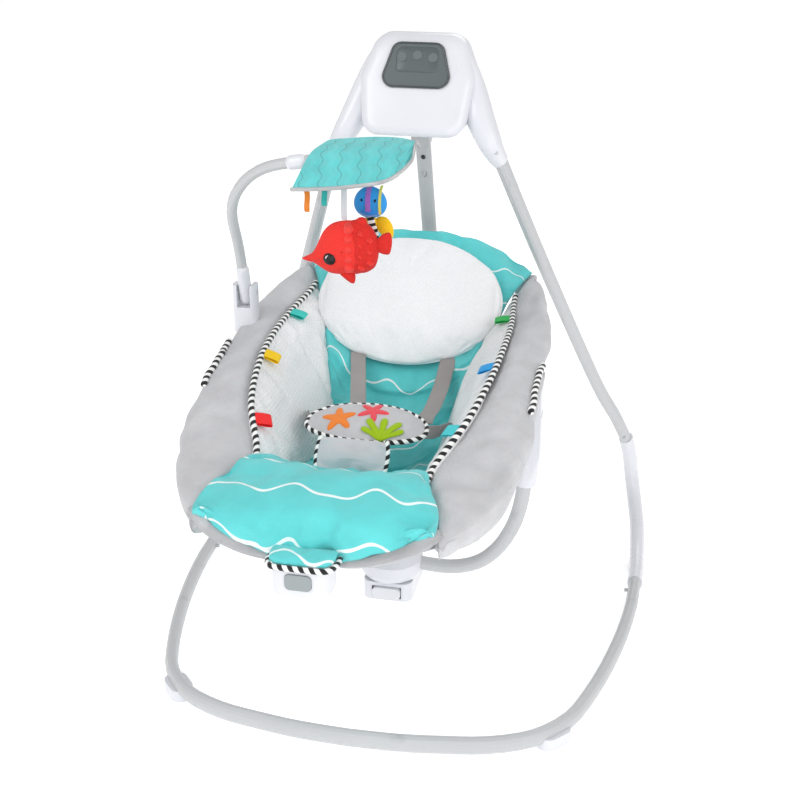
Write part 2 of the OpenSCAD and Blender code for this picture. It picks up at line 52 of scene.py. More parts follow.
# Lamps: name, place, height of the point that it faces, size, watts
LAMPS = (("key", (-1.6, -1.9, 2.6), 0.45, 1.6, 25), ("fill", (2.3, -1.2, 1.7), 0.5, 2.0, 18),
         ("front", (0.7, -3.0, 1.3), 0.5, 2.4, 20), ("rim", (0.3, 2.4, 2.2), 0.6, 1.6, 12))
WORLD_STRENGTH, FLOOR_RADIUS, FLOOR_GLOW = 0.65, 9, 0.36


def linear(code):
    """The linear colour of an sRGB hex code."""
    parts = [int(code[i:i + 2], 16) / 255 for i in (1, 3, 5)]
    return [c / 12.92 if c <= 0.04045 else ((c + 0.055) / 1.055) ** 2.4 for c in parts] + [1.0]


def link(data, name):
    obj = bpy.data.objects.new(name, data)
    bpy.context.scene.collection.objects.link(obj)
    return obj


def point(obj, at, direction):
    """Stands a camera or a lamp at a place, looking in a direction."""
    obj.location = at
    obj.rotation_euler = Vector(direction).to_track_quat("-Z", "Y").to_euler()


def add_camera():
    data = bpy.data.cameras.new("camera")
    data.lens, data.sensor_width = CAMERA_LENS, SENSOR_WIDTH
    camera = link(data, "camera")
    point(camera, CAMERA_AT, CAMERA_AIM)
    bpy.context.scene.camera = camera


def add_stage():
    scene = bpy.context.scene
    scene.view_settings.view_transform = "Standard"
    scene.world = bpy.data.worlds.new("studio")
    scene.world.use_nodes = True
    sky = scene.world.node_tree.nodes["Background"].inputs
    sky["Color"].default_value = (1, 1, 1, 1)
    sky["Strength"].default_value = WORLD_STRENGTH
    for name, at, faced, size, watts in LAMPS:
        data = bpy.data.lights.new(name, "AREA")
        data.shape, data.size, data.energy = "DISK", size, watts
        point(link(data, name), at, Vector((0, 0, faced)) - Vector(at))
    bpy.ops.mesh.primitive_circle_add(vertices=96, radius=FLOOR_RADIUS, fill_type="NGON")
    floor = bpy.context.object
    floor.name = "studio_floor"
    paper = Finish("floor_paper", 0.9, Emission_Color=(1, 1, 1, 1), Emission_Strength=FLOOR_GLOW)
    paper.colour(linear("#ffffff"))
    floor.data.materials.append(paper.material)


# ---------------------------------------- materials
class Finish:
    """A material, with short calls for the nodes that feed its Principled shader."""

    def __init__(self, name, rough, **sockets):
        self.material = bpy.data.materials.new(name)
        self.material.use_nodes = True
        self.nodes = self.material.node_tree.nodes
        self.shader = self.nodes["Principled BSDF"].inputs
        self.shader["Roughness"].default_value = rough
        for socket, value in sockets.items():
            self.shader[socket.replace("_", " ")].default_value = value
        self.places = self.nodes.new("ShaderNodeTexCoord").outputs
        self.normal = None

    def join(self, value, socket):
        """Puts a constant into a socket, or links an output to it."""
        if isinstance(value, bpy.types.NodeSocket):
            self.material.node_tree.links.new(value, socket)
        else:
            socket.default_value = value

    def add(self, kind, inputs, **settings):
        """A new node with these settings and inputs. Returns its outputs."""
        node = self.nodes.new("ShaderNode" + kind)
        for name, value in settings.items():
            setattr(node, name, value)
        for socket, value in inputs.items():
            self.join(value, node.inputs[socket])
        return node.outputs

    def math(self, operation, a, b=0.0):
        return self.add("Math", {0: a, 1: b}, operation=operation)[0]

    def sine(self, value, length):
        """A sine wave with one turn in each length of value."""
        return self.math("SINE", self.math("MULTIPLY", value, TURN / length))

    def noise(self, scale, detail=2.0, squeeze=None):
        """Noise in object space, squeezed by these factors along the axes."""
        place = self.places["Object"]
        if squeeze:
            place = self.add("Mapping", {"Vector": place, "Scale": squeeze})[0]
        return self.add("TexNoise", {"Vector": place, "Scale": scale, "Detail": detail})[0]

    def uv(self):
        """The two metre coordinates across and along a sewn piece."""
        return self.add("SeparateXYZ", {0: self.places["UV"]})[:2]

    def remap(self, value, low, high, to_low, to_high):
        return self.add("MapRange", dict(enumerate((value, low, high, to_low, to_high))))[0]

    def blend(self, factor, first, second):
        """Mixes two colours, each a hex code or an output."""
        first, second = (linear(c) if isinstance(c, str) else c for c in (first, second))
        return self.add("Mix", {"Factor": factor, 6: first, 7: second}, data_type="RGBA")[2]

    def colour(self, value):
        self.join(value, self.shader["Base Color"])

    def roughness(self, value):
        self.join(value, self.shader["Roughness"])

    def bump(self, value, depth):
        """Adds a bump of that depth in metres, on top of those already there."""
        below = {"Normal": self.normal} if self.normal else {}
        self.normal = self.add("Bump", {"Strength": 1.0, "Distance": depth, "Height": value,
                                        **below})[0]
        self.join(self.normal, self.shader["Normal"])


def shade(code, factor):
    """A hex code with its parts multiplied by a factor."""
    parts = [min(255, round(int(code[i:i + 2], 16) * factor)) for i in (1, 3, 5)]
    return "#%02x%02x%02x" % tuple(parts)


def moulded(name, code, rough=0.35, grain=0.00008, coat=0.0):
    """Moulded plastic: a fine spark texture, slight flow marks and handling gloss."""
    f = Finish(name, rough, Coat_Weight=coat, Coat_Roughness=0.12)
    f.colour(f.blend(f.remap(f.noise(5, 3), 0.35, 0.65, 0, 1), shade(code, 0.965), code))
    f.roughness(f.remap(f.noise(14, 4), 0.3, 0.7, rough - 0.05, rough + 0.07))
    if grain:
        f.bump(f.noise(1400, 2), grain)
        f.bump(f.noise(9, 2), 0.0004)
    return f.material


def painted(name, code, rough=0.38):
    """Powder coat on steel tube: orange peel, with faint worn spots."""
    f = Finish(name, rough, Coat_Weight=0.15, Coat_Roughness=0.2)
    wear = f.remap(f.noise(22, 5), 0.62, 0.72, 0, 1)
    f.colour(f.blend(wear, f.blend(f.noise(3, 2), shade(code, 0.97), shade(code, 1.02)),
                     shade(code, 0.93)))
    f.roughness(f.remap(f.noise(40, 3), 0.3, 0.7, rough - 0.06, rough + 0.08))
    f.bump(f.noise(520, 1), 0.00012)
    return f.material


def metal(name, code, rough=0.3):
    """Bare metal with turning marks."""
    f = Finish(name, rough, Metallic=1.0)
    f.colour(f.blend(f.noise(60, 3), shade(code, 0.9), code))
    f.roughness(f.remap(f.noise(300, 2, (1, 1, 12)), 0.3, 0.7, rough - 0.08, rough + 0.12))
    f.bump(f.noise(700, 1, (1, 1, 10)), 0.00005)
    return f.material


def cloth(name, code, pitch=0.0022, depth=0.00022, sheen=0.25, folds=0.0016, mottled=0.04):
    """Woven polyester: crossed threads a pitch apart, with painted shade darkening the gaps between
    them, creases, and a nap that varies.
    """
    f = Finish(name, 0.82, Sheen_Weight=sheen, Sheen_Roughness=0.5, Specular_IOR_Level=0.25)
    across, along = f.uv()
    threads = f.math("MULTIPLY", f.sine(across, pitch), f.sine(along, pitch))
    f.bump(threads, depth)
    nap = f.remap(f.noise(26, 4), 0.3, 0.7, 0, 1)
    tone = f.blend(nap, shade(code, 1 - mottled), shade(code, 1 + mottled / 2))
    # Painted shade: where the threads dip, the colour is darkened up to a tenth of the way towards
    # 72% of itself.
    f.tone = f.blend(f.remap(threads, -1, 1, 0.10, 0.0), tone, shade(code, 0.72))
    f.colour(f.tone)
    f.bump(f.noise(34, 3), folds)
    return f


def satin(name, code, **look):
    """Fine shiny ribbon."""
    return cloth(name, code, pitch=0.0012, folds=0.0003, **look)


def plush(name, code, depth=0.0012, scale=420, sheen=0.6, mottled=0.06):
    """Short pile: clumps of fibres with a soft bright edge, and painted shade that darkens the low
    pile between the clumps.
    """
    f = Finish(name, 0.95, Sheen_Weight=sheen, Sheen_Roughness=0.45, Specular_IOR_Level=0.15)
    pile = f.noise(scale, 4)
    # Painted shade: the colour follows the pile's bump and is darker, by mottled, where the pile is
    # low.
    f.tone = f.blend(f.remap(pile, 0.3, 0.7, 0, 1), shade(code, 1 - mottled), code)
    f.colour(f.tone)
    f.bump(pile, depth)
    return f


def waved(name, spacing, first, swing, width=0.0034):
    """Teal cloth with printed white wave lines across it, spacing apart."""
    f = cloth(name, TEAL, folds=0.003)
    across, along = f.uv()
    wide = f.math("MULTIPLY", f.sine(across, 0.088), swing)
    drift = f.math("ADD", f.math("MULTIPLY", across, TURN / 0.051),
                   f.math("MULTIPLY", along, 31))
    ripple = f.math("ADD", wide, f.math("MULTIPLY", f.math("SINE", drift), swing * 0.45))
    height = f.math("SUBTRACT", f.math("ADD", along, ripple), first)
    gap = f.math("PINGPONG", height, spacing / 2)
    line = f.remap(gap, width / 2 - 0.0004, width / 2 + 0.0004, 1, 0)
    f.colour(f.blend(line, f.tone, "#f3fbfb"))
    return f.material


def dotted(name, spacing=0.011):
    """White minky with raised dots in staggered rows; the ground between the dots is painted greyer
    than the dots, as painted shade.
    """
    f = plush(name, "#fafafb", depth=0.0006)
    across, along = f.uv()
    dots = f.math("MULTIPLY", f.sine(f.math("ADD", across, along), spacing),
                  f.sine(f.math("SUBTRACT", across, along), spacing))
    raised = f.remap(dots, 0.25, 0.9, 0, 1)
    # Painted shade: the low ground between the dots is tinted towards grey, and the raised dots are
    # painted pure white.
    f.colour(f.blend(raised, f.blend(0.10, f.tone, "#d2d4da"), "#ffffff"))
    f.bump(raised, 0.0008)
    return f.material


def striped(name, pitch=0.0125, lean=1.0):
    """Bias-cut piping: slanted stripes that run round the cord."""
    f = Finish(name, 0.8, Sheen_Weight=0.2, Specular_IOR_Level=0.25)
    around, along = f.uv()
    turn = f.math("ADD", f.math("MULTIPLY", along, 1 / pitch), f.math("MULTIPLY", around, lean))
    band = f.remap(f.math("PINGPONG", turn, 0.5), 0.235, 0.265, 0, 1)
    f.colour(f.blend(band, "#f4f4f2", "#232326"))
    f.bump(f.noise(900, 2), 0.0003)
    return f.material


def quilted():
    """The canopy's teal cloth, with wavy lines of stitching from back to front."""
    f = cloth("canopy_cloth", TEAL, folds=0.0007)
    across, along = f.uv()
    ripple = f.math("MULTIPLY", f.sine(along, 0.031), 0.0026)
    gap = f.math("PINGPONG", f.math("ADD", across, ripple), 0.013)
    f.colour(f.blend(f.remap(gap, 0.0003, 0.0009, 1, 0), f.tone, shade(TEAL, 0.78)))
    f.bump(f.remap(gap, 0, 0.009, 0, 1), 0.0028)
    return f.material


TEAL = "#66dadb"
TEAL_SEAT = waved("teal_seat_cloth", 0.105, 0.075, 0.008)
TEAL_FOOT = waved("teal_foot_cloth", 0.069, 0.011, 0.007, width=0.0038)
GREY_CLOTH = cloth("grey_side_cloth", "#cbcbce", folds=0.0045).material
MINKY = dotted("white_minky")
PILLOW = plush("pillow_plush", "#f6f6f8", depth=0.0009, mottled=0.035).material
STRIPES = striped("striped_piping")
WEBBING = cloth("strap_webbing", "#a9a4a1", pitch=0.0018, depth=0.0003, folds=0.0004).material
SILVER = cloth("silver_cloth", "#cfd0d4", folds=0.0012).material
BINDING = cloth("grey_binding", "#d6d7d9", pitch=0.0016, folds=0.0006).material
WHITE = moulded("white_housing", "#dfe0e6", rough=0.3, coat=0.25)
BLACK = moulded("black_plastic", "#26282a", rough=0.45)
GLOSS = moulded("gloss_trim", "#3d4346", rough=0.12, grain=0.0, coat=0.6)
TOUCH = moulded("touch_area_grey", "#525a5c", rough=0.36, coat=0.1)
EYE_BLACK = moulded("eye_black", "#040405", rough=0.45)

# The finishes of CAD nodes. The nodes that aren't listed keep the colour that they come with.
NODE_FINISH = (
    (WHITE, "front_foot_left front_foot_right rear_elbow_left rear_elbow_right battery_door "
            "hub_base turntable vibration_housing buckle bracket_left bracket_right toy_socket"),
    (painted("grey_tube_coat", "#bdbec0"),
     "arm_hub base_tube leg_tube_left leg_tube_right arm_upper arm_lower hoop_left hoop_right "
     "toy_bar"),
    (metal("zinc_steel", "#b4b7b9"),
     "snap_buttons cover_screws pivot_shaft arm_bolt swivel_pin recline_pins seat_rim "
     "vibration_motor drive_magnet"),
    (moulded("panel_button_grey", "#636b6d", rough=0.42), "power_button speed_button sound_button"),
    (moulded("pale_housing", "#dddee2", rough=0.36), "hub_button"),
    (moulded("circuit_green", "#2f7d4f", rough=0.5), "circuit_board"),
    (metal("copper_winding", "#b87333", rough=0.35), "drive_coil"),
    (metal("cell_jacket", "#b8bcc0", rough=0.4), "battery_cells"),
    (moulded("seat_shell_grey", "#bfc2c4", rough=0.6, grain=0.0002), "seat_board"),
)
# How far the edges of the moulded housings are rounded
NODE_EDGES = (
    (0.0025, "hub_base bracket_left bracket_right toy_socket turntable front_foot_left "
             "front_foot_right"),
    (0.0045, "vibration_housing"),
    (0.0012, "control_panel battery_door buckle vibration_button hub_button power_button "
             "speed_button sound_button arm_hub"),
)


def finish_nodes():
    """The CAD nodes that show get their finish, and the housings their soft edges."""
    for finish, names in NODE_FINISH:
        for name in names.split():
            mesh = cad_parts[name].data
            mesh.materials.clear()
            mesh.materials.append(finish)
            for face in mesh.polygons:
                face.material_index = 0
    for width, names in NODE_EDGES:
        for name in names.split():
            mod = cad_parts[name].modifiers.new("edges", "BEVEL")
            mod.width, mod.segments = width, 3
            mod.limit_method, mod.angle_limit = "ANGLE", math.radians(38)
            mod.harden_normals = False


# ---------------------------------------- shapes
def mm(points):
    return np.asarray(points, float) * 0.001


def circle(count):
    """Angles evenly spaced round a circle."""
    return np.linspace(0, TURN, count, endpoint=False)


def ellipse(x, z, wide, tall, count=40):
    turn = circle(count)
    return np.stack([x + wide * np.cos(turn), z + tall * np.sin(turn)], axis=1)


def spline(points, at):
    """Catmull-Rom through the points, read at the station numbers in at."""
    points = np.asarray(points, float)
    last = len(points) - 1
    at = np.clip(np.asarray(at, float), 0, last)
    i = np.minimum(at.astype(int), last - 1)
    t = (at - i)[:, None]
    a, b, c, d = (points[np.clip(i + k, 0, last)] for k in (-1, 0, 1, 2))
    return 0.5 * (2 * b + (c - a) * t + (2 * a - 5 * b + 4 * c - d) * t ** 2
                  + (3 * b - a - 3 * c + d) * t ** 3)


def smooth(points, steps=8):
    """Evenly spaced stations along a spline through the points."""
    return spline(points, np.linspace(0, len(points) - 1, (len(points) - 1) * steps + 1))


def curve_loop(points, steps=6):
    """A smooth closed outline through (x, z) points in millimetres."""
    points = mm(points)
    closed = np.concatenate([points[-1:], points, points[:2]])
    count = len(points)
    return spline(closed, np.linspace(1, count + 1, count * steps, endpoint=False))


def run_along(path):
    """How far along a path each of its points is."""
    return np.concatenate([[0], np.cumsum(np.linalg.norm(np.diff(path, axis=0), axis=1))])


def read_at(path, at):
    """A path read at these distances along it."""
    run = run_along(path)
    return np.stack([np.interp(at, run, column) for column in path.T], axis=1)


def spaced(path, step):
    """The same path with its points an equal distance of about step apart."""
    length = run_along(path)[-1]
    return read_at(path, np.linspace(0, length, max(2, int(round(length / step)) + 1)))


def evenly(loop, count):
    """A closed loop of points, read again at equal distances."""
    closed = np.concatenate([loop, loop[:1]])
    return read_at(closed, np.linspace(0, run_along(closed)[-1], count, endpoint=False))


def unit(vectors):
    return vectors / np.maximum(np.linalg.norm(vectors, axis=-1, keepdims=True), 1e-9)


def leaning(tilt):
    """The directions across, up and out of a plane that leans back by tilt from the level."""
    up, out = (0, math.cos(tilt), math.sin(tilt)), (0, -math.sin(tilt), math.cos(tilt))
    return np.array([(1, 0, 0), up, out])


def placed(flat, at, tilt):
    """Points (x, up) or (x, up, out) laid on a leaning plane through at."""
    return np.asarray(at) + flat @ leaning(tilt)[:flat.shape[-1]]


def subdivided(obj):
    obj.modifiers.new("smooth", "SUBSURF").render_levels = 1
    return obj


def thickened(obj, thickness):
    """Gives a surface a thickness, away from its face."""
    mod = obj.modifiers.new("thickness", "SOLIDIFY")
    mod.thickness, mod.offset = thickness, -1


def new_mesh(name, verts, faces, material, uvs=None):
    """A mesh object with smooth faces. uvs gives one (u, v) for each corner of each face."""
    mesh = bpy.data.meshes.new(name)
    mesh.from_pydata([tuple(v) for v in verts], [], [tuple(f) for f in faces])
    if uvs is not None:
        layer = mesh.uv_layers.new(name="cut")
        layer.data.foreach_set("uv", np.asarray(uvs, np.float32).ravel())
    mesh.polygons.foreach_set("use_smooth", [True] * len(mesh.polygons))
    mesh.validate()
    mesh.materials.append(material)
    return link(mesh, name)


def ride(obj, body, slot, *nodes):
    """A finished piece: it moves with the body, and the nodes it stands for are hidden. slot is not
    used.
    """
    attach(obj, body)
    if nodes:
        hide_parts(*nodes)
    return obj


def grid_faces(rows, cols, wrap=False):
    """Quads of a grid of points, and their corners' (column, row) numbers."""
    faces, corners = [], []
    for r in range(rows - 1):
        for c in range(cols if wrap else cols - 1):
            d = (c + 1) % cols
            faces.append((r * cols + c, r * cols + d, (r + 1) * cols + d, (r + 1) * cols + c))
            corners += [(c, r), (c + 1, r), (c + 1, r + 1), (c, r + 1)]
    return faces, corners


def turned(corners):
    """Each quad's four corners in the opposite order."""
    return [c for k in range(0, len(corners), 4) for c in corners[k:k + 4][::-1]]


def grid_uvs(points, corners, wrap=False):
    """Metre coordinates for a grid of points: along each row, and down the middle column."""
    rows, cols = points.shape[:2]
    closed = np.concatenate([points, points[:, :1]], axis=1) if wrap else points
    u = np.array([run_along(row) for row in closed])
    u -= u[:, -1:] / 2
    v = run_along(points[:, cols // 2])
    return [(u[r, c], v[r]) for c, r in corners]


def end_faces(rows, sides):
    """The two faces that close a skin over rings of points."""
    last = (rows - 1) * sides
    return [tuple(range(sides))[::-1], tuple(range(last, last + sides))]


def ring_mesh(name, rings, material, flip=False, closed=False):
    """A skin over rings of points (rows, sides, 3). closed adds a face at each end."""
    rows, sides = rings.shape[:2]
    faces, corners = grid_faces(rows, sides, wrap=True)
    uvs = grid_uvs(rings, turned(corners) if flip else corners, wrap=True)
    if closed:
        faces += end_faces(rows, sides)
        uvs += [uvs[0]] * (2 * sides)
    if flip:
        faces = [face[::-1] for face in faces]
    return new_mesh(name, rings.reshape(-1, 3), faces, material, uvs)


def sheet_mesh(name, points, material, thickness):
    """A grid of points (rows, columns, 3) as a surface, thickened away from its face."""
    faces, corners = grid_faces(*points.shape[:2])
    obj = new_mesh(name, points.reshape(-1, 3), faces, material, grid_uvs(points, corners))
    thickened(obj, thickness)
    return subdivided(obj)


def ribbon(name, path, width, thick, material, across=(1, 0, 0)):
    """A flat strap along a path, width wide along the direction across."""
    half = np.linspace(-width / 2, width / 2, 5)[None, :, None]
    across = np.broadcast_to(np.asarray(across, float), np.shape(path))
    return sheet_mesh(name, np.asarray(path)[:, None] + half * across[:, None], material, thick)


# A tube's round ends: how far out each ring is, and its size, as shares of the radius
END_STEPS, END_SIZES = np.array([1.0, 0.7, 0.3]), np.array([0.05, 0.7, 0.95])


def tube(name, path, radius, material, up=(0, 0, 1), sides=12, flat=1.0, round_ends=True):
    """A tube along a path. radius is one number or one for each point; flat squashes it
    towards up. UVs run 0 to 1 around it and in metres along it."""
    ahead = unit(np.gradient(path, axis=0))
    side = unit(np.cross(ahead, np.broadcast_to(np.asarray(up, float), path.shape)))
    normal = np.cross(side, ahead)
    radii = np.broadcast_to(np.asarray(radius, float), (len(path),))
    if round_ends:
        steps = END_STEPS[:, None]
        path = np.concatenate([path[0] - ahead[0] * radii[0] * steps, path,
                               path[-1] + ahead[-1] * radii[-1] * steps[::-1]])
        radii = np.concatenate([radii[0] * END_SIZES, radii, radii[-1] * END_SIZES[::-1]])
        side, normal = (np.pad(v, ((3, 3), (0, 0)), "edge") for v in (side, normal))
    angle = circle(sides)[None, :, None]
    ring = np.cos(angle) * side[:, None] + flat * np.sin(angle) * normal[:, None]
    points = path[:, None] + ring * radii[:, None, None]
    faces, corners = grid_faces(len(path), sides, wrap=True)
    run = run_along(path)
    uvs = [(c / sides, run[r]) for c, r in corners]
    uvs += [(0, run[0])] * sides + [(0, run[-1])] * sides
    return new_mesh(name, points.reshape(-1, 3), faces + end_faces(len(path), sides), material,
                    uvs)


def outline_round(circles, grow, count, start=0.0, samples=720):
    """The outline round circles (x, up, radius) and their mirror images, grow outside them."""
    turn = circle(samples) + start
    aim = np.stack([np.cos(turn), np.sin(turn)], axis=1)
    circles = np.concatenate([circles, circles * [-1, 1, 1]])
    best = (aim @ circles[:, :2].T + circles[:, 2]).argmax(axis=1)
    return evenly(circles[best, :2] + aim * (circles[best, 2:] + grow), count)


# ---------------------------------------- sewn pieces
# Frames that each cloth simulation runs for
CLOTH_FRAMES = 18


def vertices(obj, field="co"):
    """The places of a mesh's vertices, or their normals, one row for each."""
    flat = np.empty(len(obj.data.vertices) * 3)
    obj.data.vertices.foreach_get(field, flat)
    return flat.reshape(-1, 3)


def move_to(obj, points):
    obj.data.vertices.foreach_set("co", points.ravel())
    obj.data.update()


def surface(obj):
    """The finished surface of an object, to lay other pieces on."""
    return BVHTree.FromObject(obj, bpy.context.evaluated_depsgraph_get())


def swell(obj, pinned, pressure, slack, cap):
    """Blows a closed piece up as cloth held at its pinned points. slack is the share of
    spare cloth, which puckers along the seams; no point moves further than cap."""
    scene = bpy.context.scene
    group = obj.vertex_groups.new(name="stitched")
    group.add([int(i) for i in pinned], 1.0, "REPLACE")
    mod = obj.modifiers.new("cloth", "CLOTH")
    settings = mod.settings
    settings.quality, settings.mass = 4, 0.12
    settings.tension_stiffness = settings.compression_stiffness = 14
    settings.shear_stiffness, settings.bending_stiffness = 6, 0.25
    settings.use_pressure, settings.uniform_pressure_force = True, pressure
    settings.vertex_group_mass, settings.shrink_min = "stitched", -slack
    settings.effector_weights.gravity = 0
    mod.collision_settings.use_collision = False
    mod.point_cache.frame_start, mod.point_cache.frame_end = 1, CLOTH_FRAMES
    before = vertices(obj)
    for number in range(1, CLOTH_FRAMES + 1):
        scene.frame_set(number)
    moved = vertices(obj.evaluated_get(bpy.context.evaluated_depsgraph_get())) - before
    reach = np.linalg.norm(moved, axis=1)[:, None]
    moved *= np.minimum(1, cap / np.maximum(reach, 1e-9))
    obj.modifiers.remove(mod)
    obj.vertex_groups.remove(group)
    move_to(obj, before + moved)
    scene.frame_set(1)


def distance_to(points, marked):
    """How far each point of a grid is from the nearest marked one."""
    tree = KDTree(int(marked.sum()))
    for i, p in enumerate(points[marked]):
        tree.insert(p, i)
    tree.balance()
    far = [tree.find(p)[2] for p in points.reshape(-1, 3)]
    return np.array(far).reshape(points.shape[:2])


def quilt(name, face, material, puff, reach=0.03, seams=None, back=0.004, pressure=3.0,
          slack=0.03, cap=0.007):
    """A padded piece over a grid of points: its face stands up to puff above the grid between
    the stitched points, and its back lies just under it."""
    rows, cols = face.shape[:2]
    border = np.zeros((rows, cols), bool)
    border[[0, -1]] = border[:, [0, -1]] = True
    stitched = border if seams is None else border | seams
    normal = unit(np.cross(np.gradient(face, axis=1), np.gradient(face, axis=0)))
    near = 1 - np.minimum(distance_to(face, stitched) / reach, 1)
    upper = face + normal * (puff * np.sqrt(1 - near ** 2))[..., None]
    lower = face - normal * back
    number = np.arange(rows * cols).reshape(rows, cols)
    under = number.copy()
    under[~border] = rows * cols + np.arange((~border).sum())
    under = under.ravel().tolist()
    faces, corners = grid_faces(rows, cols)
    faces += [tuple(under[i] for i in quad[::-1]) for quad in faces]
    verts = np.concatenate([upper.reshape(-1, 3), lower[~border]])
    obj = new_mesh(name, verts, faces, material, grid_uvs(face, corners + turned(corners)))
    pinned = np.concatenate([number[stitched], np.arange(rows * cols, len(verts))])
    swell(obj, pinned, pressure, slack, cap)
    return subdivided(obj)


def creases(points, depth, size, seed):
    """The height of shallow creases along a soft surface, the same on every run."""
    lift = [noise.noise(Vector((p[0] / size + seed, p[1] / size * 0.55, p[2] / size * 1.6)))
            for p in points]
    return np.array(lift)[:, None] * depth


def pad(name, face, material, slot, *nodes, fill=0.6, creased=None, **how):
    """A quilt on the seat. creased gives the depth, size and seed of its creases."""
    obj = quilt(name, face, material, **how)
    if creased:
        points = vertices(obj)
        move_to(obj, points + vertices(obj, "normal") * creases(points, *creased))
    ride(obj, "seat", slot, *nodes)
    return obj


def piping(name, path, radius=0.0045, **how):
    """Striped cord sewn along an edge of the seat."""
    ride(tube(name, path, radius, STRIPES, sides=10, **how), "seat", "grey_fabric")


def both(make):
    """Calls make(side, name of the side) for the baby's two sides; +1 is at +X."""
    for side, label in ((1, "right"), (-1, "left")):
        make(side, label)


# ---------------------------------------- seat: rails
# Each rail has one point at each station, from the foot end to the top of the back
PIPING = mm([[149, -414, 436], [133, -344, 449], [114, -270, 445], [146, -183, 483],
             [162, -94, 506], [167, -4, 518], [166, 86, 522], [158, 186, 530], [165, 244, 550]])
OUTER = mm([[158, -409, 425], [190, -344, 435], [215, -274, 452], [228, -194, 475],
            [228, -104, 500], [229, -14, 512], [221, 76, 532], [202, 176, 545],
            [184, 242, 552]])
BOTTOM = mm([[150, -409, 400], [152, -344, 378], [160, -264, 346], [158, -184, 318],
             [148, -94, 302], [140, -4, 312], [144, 86, 372], [150, 176, 450],
             [162, 246, 516]])
INNER = mm([[151, -410, 408], [136, -344, 404], [120, -270, 395], [113, -187, 383],
            [109, -92, 356], [109, 2, 372], [127, 82, 434], [141, 172, 490], [157, 246, 534]])
# The middle and the side edge of the teal cover, from the third station on
CENTRE = mm([[0, -268, 417], [0, -194, 384], [0, -104, 338], [0, -14, 345], [0, 68, 403],
             [0, 160, 490], [0, 266, 598]])
EDGE = mm([[100, -270, 436], [98, -190, 398], [92, -90, 368], [94, 8, 388], [112, 76, 452],
           [150, 178, 522], [181, 239, 553]])
# Rows of the foot rest down its middle: y, half width, z
FOOT_ROWS = mm([[-262, 104, 424], [-276, 108, 440], [-300, 118, 447], [-344, 129, 449],
                [-384, 143, 444], [-414, 149, 436], [-432, 149, 424], [-440, 146, 410],
                [-438, 142, 401]])
# The cover rises from its middle to its edges by this power of the distance across, and its
# quilting lines are this far down it
BUCKET = 2.1
QUILT_LINES = (0.075, 0.150, 0.225, 0.300, 0.375, 0.450, 0.525)


# ---------------------------------------- seat: cloth
def make_liner():
    """The teal cover, a bucket quilted across in channels."""
    at = np.linspace(0, 6, 97)
    centre, edge = spline(CENTRE, at)[:, None], spline(EDGE, at)[:, None]
    across = np.linspace(-1, 1, 41)[None, :, None]
    grid = centre + (edge - centre) * np.abs(across) ** BUCKET
    grid[..., 0] = (edge * across)[..., 0]
    run = run_along(grid[:, 20])
    seams = np.zeros(grid.shape[:2], bool)
    seams[[np.abs(run - line).argmin() for line in QUILT_LINES]] = True
    pad("seat_liner", grid, TEAL_SEAT, "teal_fabric", "seat_pad", puff=0.013, seams=seams,
        slack=0.07, cap=0.011, creased=(0.005, 0.045, 1.7))


def make_foot_rest():
    """The teal pad at the foot end, which rolls down over the front of the seat."""
    row = smooth(FOOT_ROWS, 8)
    row = row[np.linspace(0, len(row) - 1, 45).round().astype(int)]
    across = np.linspace(-1, 1, 61)[None, :]
    y, half, z = (row[:, k:k + 1] for k in range(3))
    corner = np.maximum(-0.416 - y, 0) * 0.55 * np.abs(across) ** 3
    turned_up = 0.004 + 0.038 * np.clip((0.440 - z) / 0.04, 0, 1) * (y < -0.35)
    dip = 0.023 * np.clip((y + 0.34) / 0.06, 0, 1) * (1 - (across - 0.08) ** 2)
    pleats = 0.0022 * np.sin(across * 17) * np.exp(-((y + 0.295) / 0.03) ** 2)
    grid = np.stack([half * across, y + 0.012 * across ** 2 + corner,
                     z + turned_up * np.abs(across) ** 1.7 - dip + pleats], axis=-1)
    pad("foot_rest", grid[::-1], TEAL_FOOT, "teal_fabric", "leg_rest", fill=0.65, puff=0.012,
        reach=0.04, back=0.012, slack=0.05, cap=0.012, creased=(0.005, 0.034, 4.1))


def make_side(side, label):
    """A plush side, from the teal cover's edge up to the piping."""
    at = np.linspace(0, 5.05, 73)
    low, high = spline(EDGE, at)[:, None], spline(PIPING, at + 2)[:, None]
    across = np.linspace(-0.05, 1, 25)[None, :, None]
    grid = low + (high - low) * across
    grid[..., 0] += np.sin(np.pi * np.maximum(across[..., 0], 0)) * 0.008
    if side < 0:
        grid = (grid * [-1, 1, 1])[:, ::-1]
    pad("plush_side_" + label, grid, MINKY, "white_plush", "side_panel_" + label, puff=0.009,
        reach=0.035, cap=0.008, creased=(0.004, 0.06, 6.3 + side))


def bolster_rings(rows, sides):
    """Rings round the right grey side, from its inner edge under the seat and up over it."""
    at = np.linspace(0, 8, rows)
    crest = spline(PIPING, at) + mm([2.5, 0, -5])
    outer, low, inner = (spline(rail, at) for rail in (OUTER, BOTTOM, INNER))
    span = np.linalg.norm(outer - crest, axis=1)[:, None]
    drop = np.linalg.norm(outer - low, axis=1)[:, None]
    top = (crest + outer) / 2 + np.minimum(0.010, span / 5) * [0, 0, 1]
    belly = (outer + low) / 2 + np.minimum(0.012, drop / 10) * [1, 0, 0]
    upper, under = outer * 0.75 + belly * 0.25, low * 0.7 + belly * 0.3
    loop = np.stack([inner, low, under, belly, upper, outer, top, crest], axis=1)
    turn = np.linspace(0, loop.shape[1], sides, endpoint=False) + 2
    rings = np.stack([spline(np.concatenate([ring[-2:], ring, ring[:3]]), turn) for ring in loop])
    middle = rings.mean(axis=1, keepdims=True)
    end = np.clip(np.minimum(at / 0.7, (8 - at) / 0.3), 0, 1)[:, None, None]
    return middle + (rings - middle) * (0.3 + 0.7 * np.sqrt(1 - (1 - end) ** 2))


